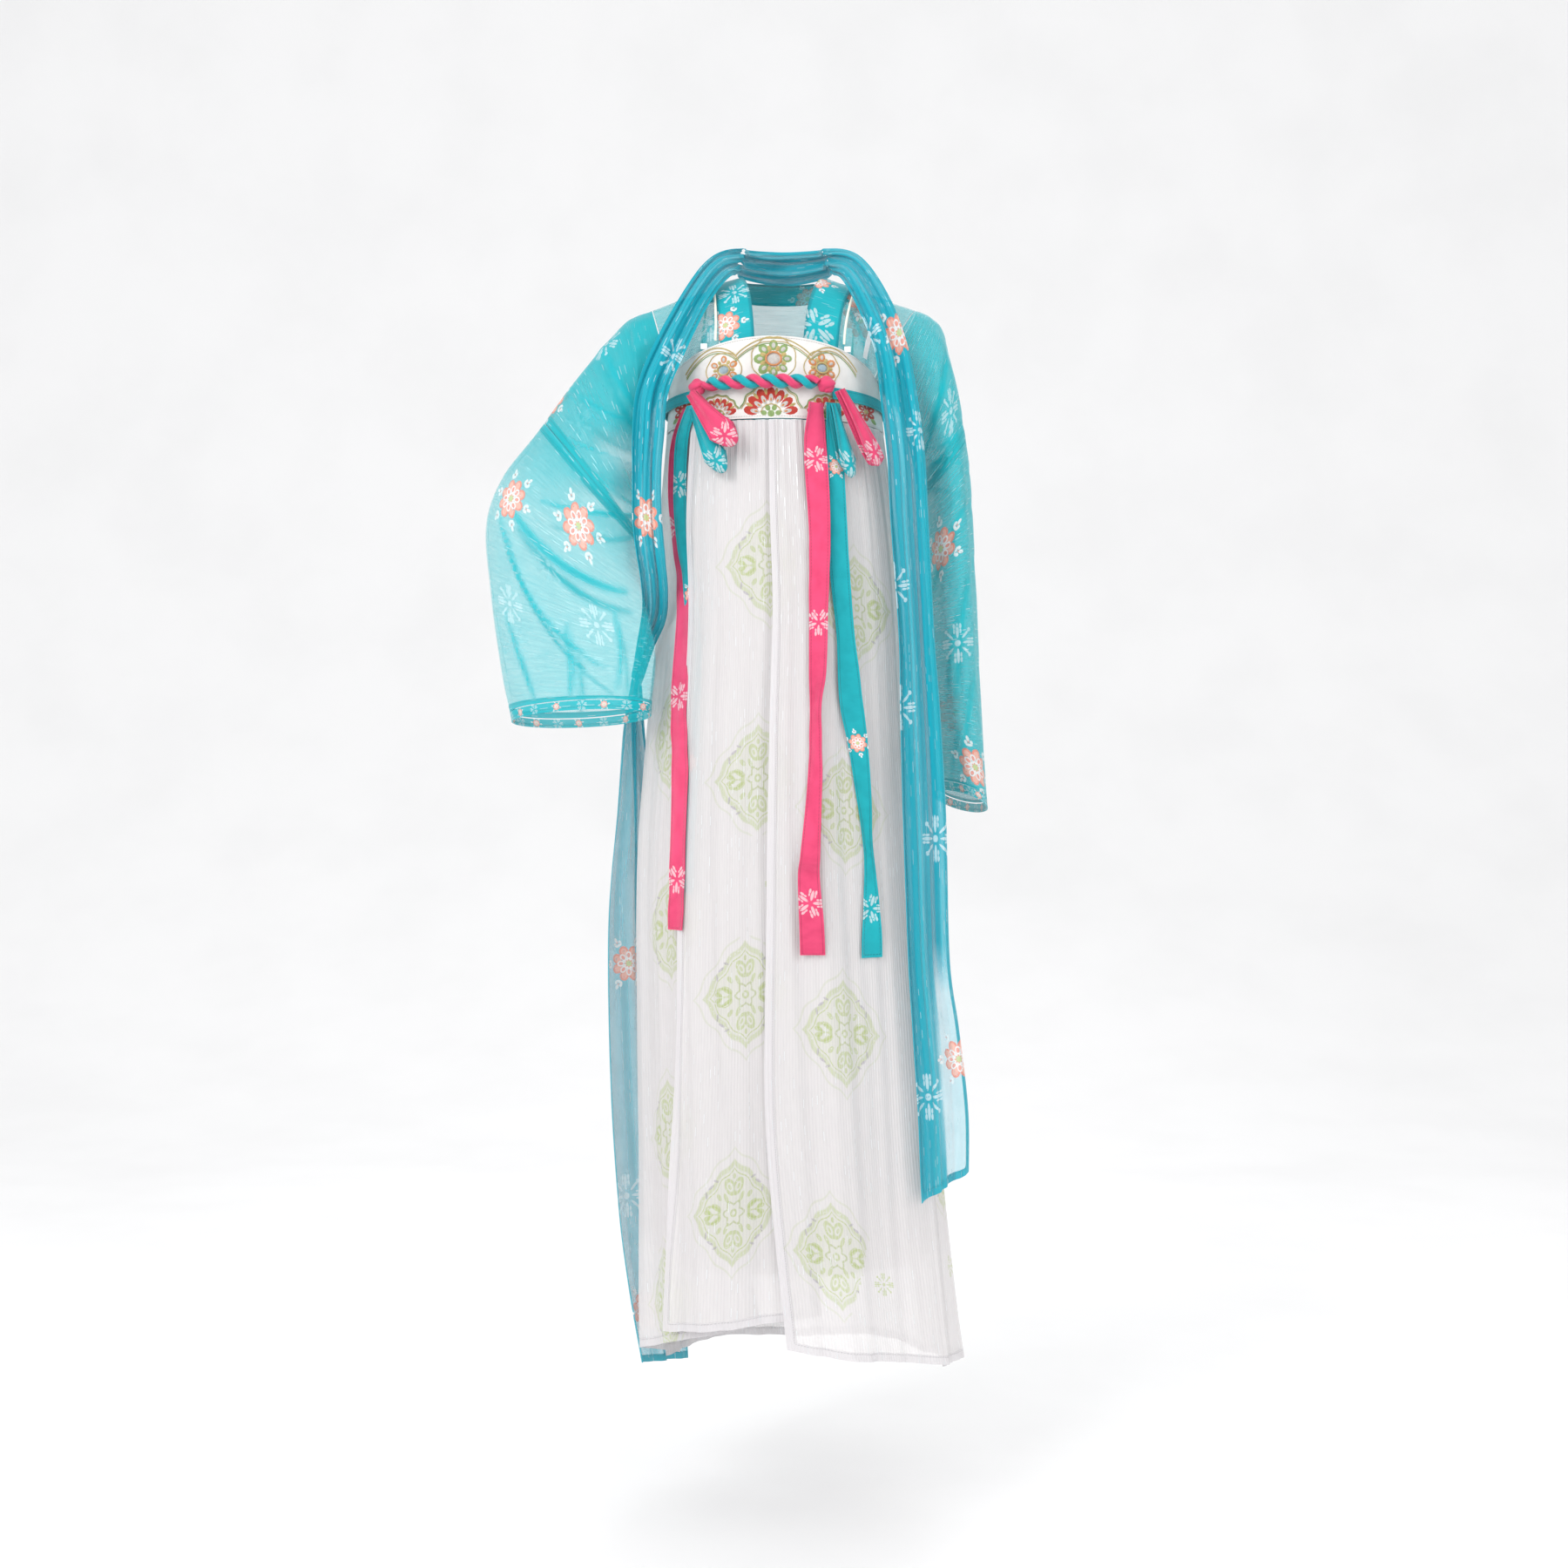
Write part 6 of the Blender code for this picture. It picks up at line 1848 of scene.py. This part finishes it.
class HANFU_OT_straps(bpy.types.Operator):
    """Make the shoulder cords, the clear strap and its clips"""

    bl_idname = "hanfu.hang_straps"
    bl_label = "Straps"

    def execute(self, context):
        cream = cloth_finish("cream_cord")
        for side, word, share in ((-1, "right", 0.30), (1, "left", 0.36)):
            high = np.linspace(0.78, 0.01, 60)
            front = lifted(partial(front_to_arm, side), np.full(60, share), high, CORD_LIFT)
            back_share = 0.5 - side * (NECK_SHARE / 2 + share * (1 - NECK_SHARE) / 2)
            back = lifted(back_to_arm, np.full(60, back_share), np.linspace(0.01, 0.84, 60), CORD_LIFT)
            low = lifted(back_to_arm, np.full(240, back_share), np.linspace(0.85, 2.0, 240), CORD_LIFT)
            points = np.concatenate((front, back, low[-low[:, 2] < BAND_TOP_SIDE + 0.010]))
            points = np.moveaxis(along(points[::5], np.linspace(0, 1, 24)), 0, -1)
            curve = bpy.data.curves.new("sewn_strap_" + word, "CURVE")
            curve.dimensions = "3D"
            line = curve.splines.new("POLY")
            smooth = np.moveaxis(along(points, np.linspace(0, 1, 160)), 0, -1)
            line.points.add(len(smooth) - 1)
            for place, point in zip(line.points, smooth):
                place.co = (*point, 1.0)
            curve.bevel_depth = CORD_RADIUS
            curve.bevel_resolution = 3
            curve.use_fill_caps = True
            piece = bpy.data.objects.new("sewn_strap_" + word, curve)
            bpy.context.scene.collection.objects.link(piece)
            piece.data.materials.append(cream)
            choose(piece)
            bpy.ops.object.convert(target="MESH")
            bpy.ops.object.shade_smooth()
            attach(piece, "root")
            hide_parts("strap_" + word)
        u, v = grid(6, 60)
        points = lifted(partial(front_to_arm, 1), 0.62 + 0.06 * u, 0.80 - 0.50 * v, 0.0030)
        piece = lay("clear_strap", points, 0.0008, cloth_finish("clear_strap")).piece
        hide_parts("clear_strap")
        for word, angle in (("left", 44.0), ("right", -40.0)):
            self.clip(word, angle)
        return {"FINISHED"}

    def clip(self, word, angle):
        """A small moulded clip with a raised bar."""
        drop = band_top(angle) - CLIP_SIZE[2] / 2 - 0.001
        centre = on_ring(SKIRT_RINGS, np.array(float(angle)), np.array(float(drop)))
        deselect()
        bpy.ops.mesh.primitive_cube_add(size=1.0, location=tuple(centre), scale=CLIP_SIZE)
        piece = bpy.context.object
        piece.name = piece.data.name = "sewn_clip_" + word
        bpy.ops.object.transform_apply(location=False, rotation=False, scale=True)
        bpy.ops.object.mode_set(mode="EDIT")
        bpy.ops.mesh.select_all(action="DESELECT")
        shape = bmesh.from_edit_mesh(piece.data)
        for face in shape.faces:
            face.select = face.normal.y < -0.5
        bmesh.update_edit_mesh(piece.data)
        bpy.ops.mesh.inset(thickness=0.0018, depth=0.0)
        bpy.ops.mesh.inset(thickness=0.0004, depth=-0.0005)
        bpy.ops.object.mode_set(mode="OBJECT")
        piece.modifiers.new("edges", "BEVEL")
        piece.modifiers["edges"].width = 0.0005
        piece.modifiers["edges"].segments = 2
        bpy.ops.object.modifier_apply(modifier="edges")
        bpy.ops.object.transform_apply(location=True, rotation=False, scale=False)
        bpy.ops.object.shade_smooth_by_angle(angle=math.radians(40))
        piece.data.materials.append(cloth_finish("white_clip"))
        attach(piece, "root")
        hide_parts("clip_" + word)


class HANFU_OT_shawl(bpy.types.Operator):
    """Drape the four lengths of the shawl"""

    bl_idname = "hanfu.drape_shawl"
    bl_label = "Shawl"

    def execute(self, context):
        cloth = cloth_finish("drape_chiffon")
        for name, stations, columns, rows, depth, cover, rests in (
            ("shawl_neck", SHAWL_NECK, 84, 70, 0.0010, 1.0, "blouse_back"),
            ("shawl_right", SHAWL_RIGHT, 84, 200, 0.0010, 1.0, "blouse_front_right"),
            ("shawl_right_fall", SHAWL_RIGHT_FALL, 96, 180, 0.0008, 0.60, "shawl_right"),
            ("shawl_left", SHAWL_LEFT, 90, 260, 0.0010, 1.0, "blouse_front_left"),
        ):
            u, v = grid(columns, rows)
            points = on_shawl(stations, u, v)
            s, t = measure(points)
            fade = np.clip(np.minimum(u, 1 - u) * 7, 0.0, 1.0)
            phase = 2.0 * np.sin(3.1 * v + 0.7) + 1.2 * np.sin(9.0 * v)
            pleats = np.sin(2 * math.pi * 5 * u + phase) + 0.7 * np.sin(2 * math.pi * 8.3 * u - 1.4 * phase)
            outer = raised(points, depth * pleats * (0.35 + 0.65 * fade))
            steep = np.abs(np.cos(2 * math.pi * SHAWL_WAVES * u)) ** 3
            tight = np.clip((0.075 - s[:, -1:] * 0.6) / 0.05, 0.0, 1.0)
            dense = 0.46 + 0.26 * steep * (0.5 + tight) + 0.16 * np.clip(pleats, 0, 1) + 0.20 * tight
            if name == "shawl_left":
                x, low = points[..., 0], -points[..., 2]
                outer_part = np.clip((x - 0.176 - 0.063 * (low - 0.82)) / 0.006, 0.0, 1.0)
                dense = dense * (1 - outer_part * np.clip((low - 0.80) / 0.06, 0.0, 1.0))
            dense = np.clip(dense * cover, 0.0, 1.0)
            edge = np.minimum(u, 1 - u) * s[:, -1:] + 0.004
            if name in ("shawl_left", "shawl_right_fall"):
                edge = np.minimum(edge, (1 - v) * t[-1].mean())
            if name == "shawl_neck":
                edge = np.ones_like(u)
            sheet = lay(
                name, outer, sizes().sheer_wall, cloth, motifs=SHAWL_MOTIFS, dense=dense, edge=edge
            )
            declare(sheet)
        return {"FINISHED"}


class HANFU_OT_stage(bpy.types.Operator):
    """Set the pale floor, the soft lights and the camera"""

    bl_idname = "hanfu.set_stage"
    bl_label = "Stage"

    def execute(self, context):
        deselect()
        bpy.ops.mesh.primitive_grid_add(x_subdivisions=2, y_subdivisions=60, size=2.0)
        floor = bpy.context.object
        floor.name = floor.data.name = "stage_floor"
        for vert in floor.data.vertices:
            share = (vert.co.y + 1) / 2
            run = share * FLOOR_RUN
            flat, bend = FLOOR_FLAT, FLOOR_BEND
            y, z = run, 0.0
            if run > flat:
                swing = min((run - flat) / bend, math.pi / 2)
                y, z = flat + bend * math.sin(swing), bend * (1 - math.cos(swing))
                z += max(run - flat - bend * math.pi / 2, 0.0) * 2
            vert.co = Vector((vert.co.x * 9.0, y - 5.0, z + FLOOR_HEIGHT))
        bpy.ops.object.shade_smooth()
        floor.data.materials.append(plain_finish("pale_floor", (0.90, 0.90, 0.905), 0.8, 3.0, {}))
        for name, place, aim, wide, power in (
            ("key_light", (-1.9, -2.6, 1.3), (0.0, 0.0, -0.5), 1.8, 58.0),
            ("fill_light", (2.4, -2.2, 0.5), (0.0, 0.0, -0.7), 2.0, 20.0),
            ("back_light", (0.6, 2.0, 1.2), (0.0, 0.0, -0.6), 1.6, 16.0),
        ):
            lamp = bpy.data.lights.new(name, "AREA")
            lamp.size = wide
            lamp.energy = power
            item = bpy.data.objects.new(name, lamp)
            item.location = place
            item.rotation_euler = (Vector(aim) - Vector(place)).to_track_quat("-Z", "Y").to_euler()
            bpy.context.scene.collection.objects.link(item)
        world = bpy.data.worlds.new("studio")
        world.use_nodes = True
        sky = world.node_tree.nodes["Background"]
        sky.inputs["Color"].default_value = (1.0, 1.0, 1.0, 1.0)
        sky.inputs["Strength"].default_value = SKY_STRENGTH
        scene = bpy.context.scene
        scene.world = world
        scene.view_settings.view_transform = "Standard"
        scene.cycles.transparent_max_bounces = 64
        lens = bpy.data.cameras.new("view")
        lens.lens = CAMERA_LENS
        lens.sensor_width = 36.0
        camera = bpy.data.objects.new("view", lens)
        camera.location = CAMERA_PLACE
        camera.rotation_euler = (math.radians(90.0), 0.0, 0.0)
        scene.collection.objects.link(camera)
        scene.camera = camera
        return {"FINISHED"}


class HANFU_PT_panel(bpy.types.Panel):
    """The hanfu set's sizes, colours and pieces"""

    bl_idname = "HANFU_PT_panel"
    bl_label = "Hanfu set"
    bl_space_type = "VIEW_3D"
    bl_region_type = "UI"
    bl_category = "Hanfu"

    def draw(self, context):
        column = self.layout.column(align=True)
        for operator in OPERATORS:
            column.operator(operator.bl_idname)
        for group in (sizes(), colours()):
            box = self.layout.box()
            for name in group.__annotations__:
                box.prop(group, name)


OPERATORS = (
    HANFU_OT_stage,
    HANFU_OT_blouse,
    HANFU_OT_collar,
    HANFU_OT_sleeves,
    HANFU_OT_skirt,
    HANFU_OT_chest_band,
    HANFU_OT_ties,
    HANFU_OT_straps,
    HANFU_OT_shawl,
)
CLASSES = (HanfuSizes, HanfuColours) + OPERATORS + (HANFU_PT_panel,)


def register():
    for item in CLASSES:
        bpy.utils.register_class(item)
    bpy.types.Scene.hanfu_sizes = bpy.props.PointerProperty(type=HanfuSizes)
    bpy.types.Scene.hanfu_colours = bpy.props.PointerProperty(type=HanfuColours)


def unregister():
    del bpy.types.Scene.hanfu_colours
    del bpy.types.Scene.hanfu_sizes
    for item in reversed(CLASSES):
        bpy.utils.unregister_class(item)


def main():
    register()
    for operator in OPERATORS:
        group, name = operator.bl_idname.split(".")
        getattr(getattr(bpy.ops, group), name)()
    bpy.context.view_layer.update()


if __name__ == "__main__":
    main()
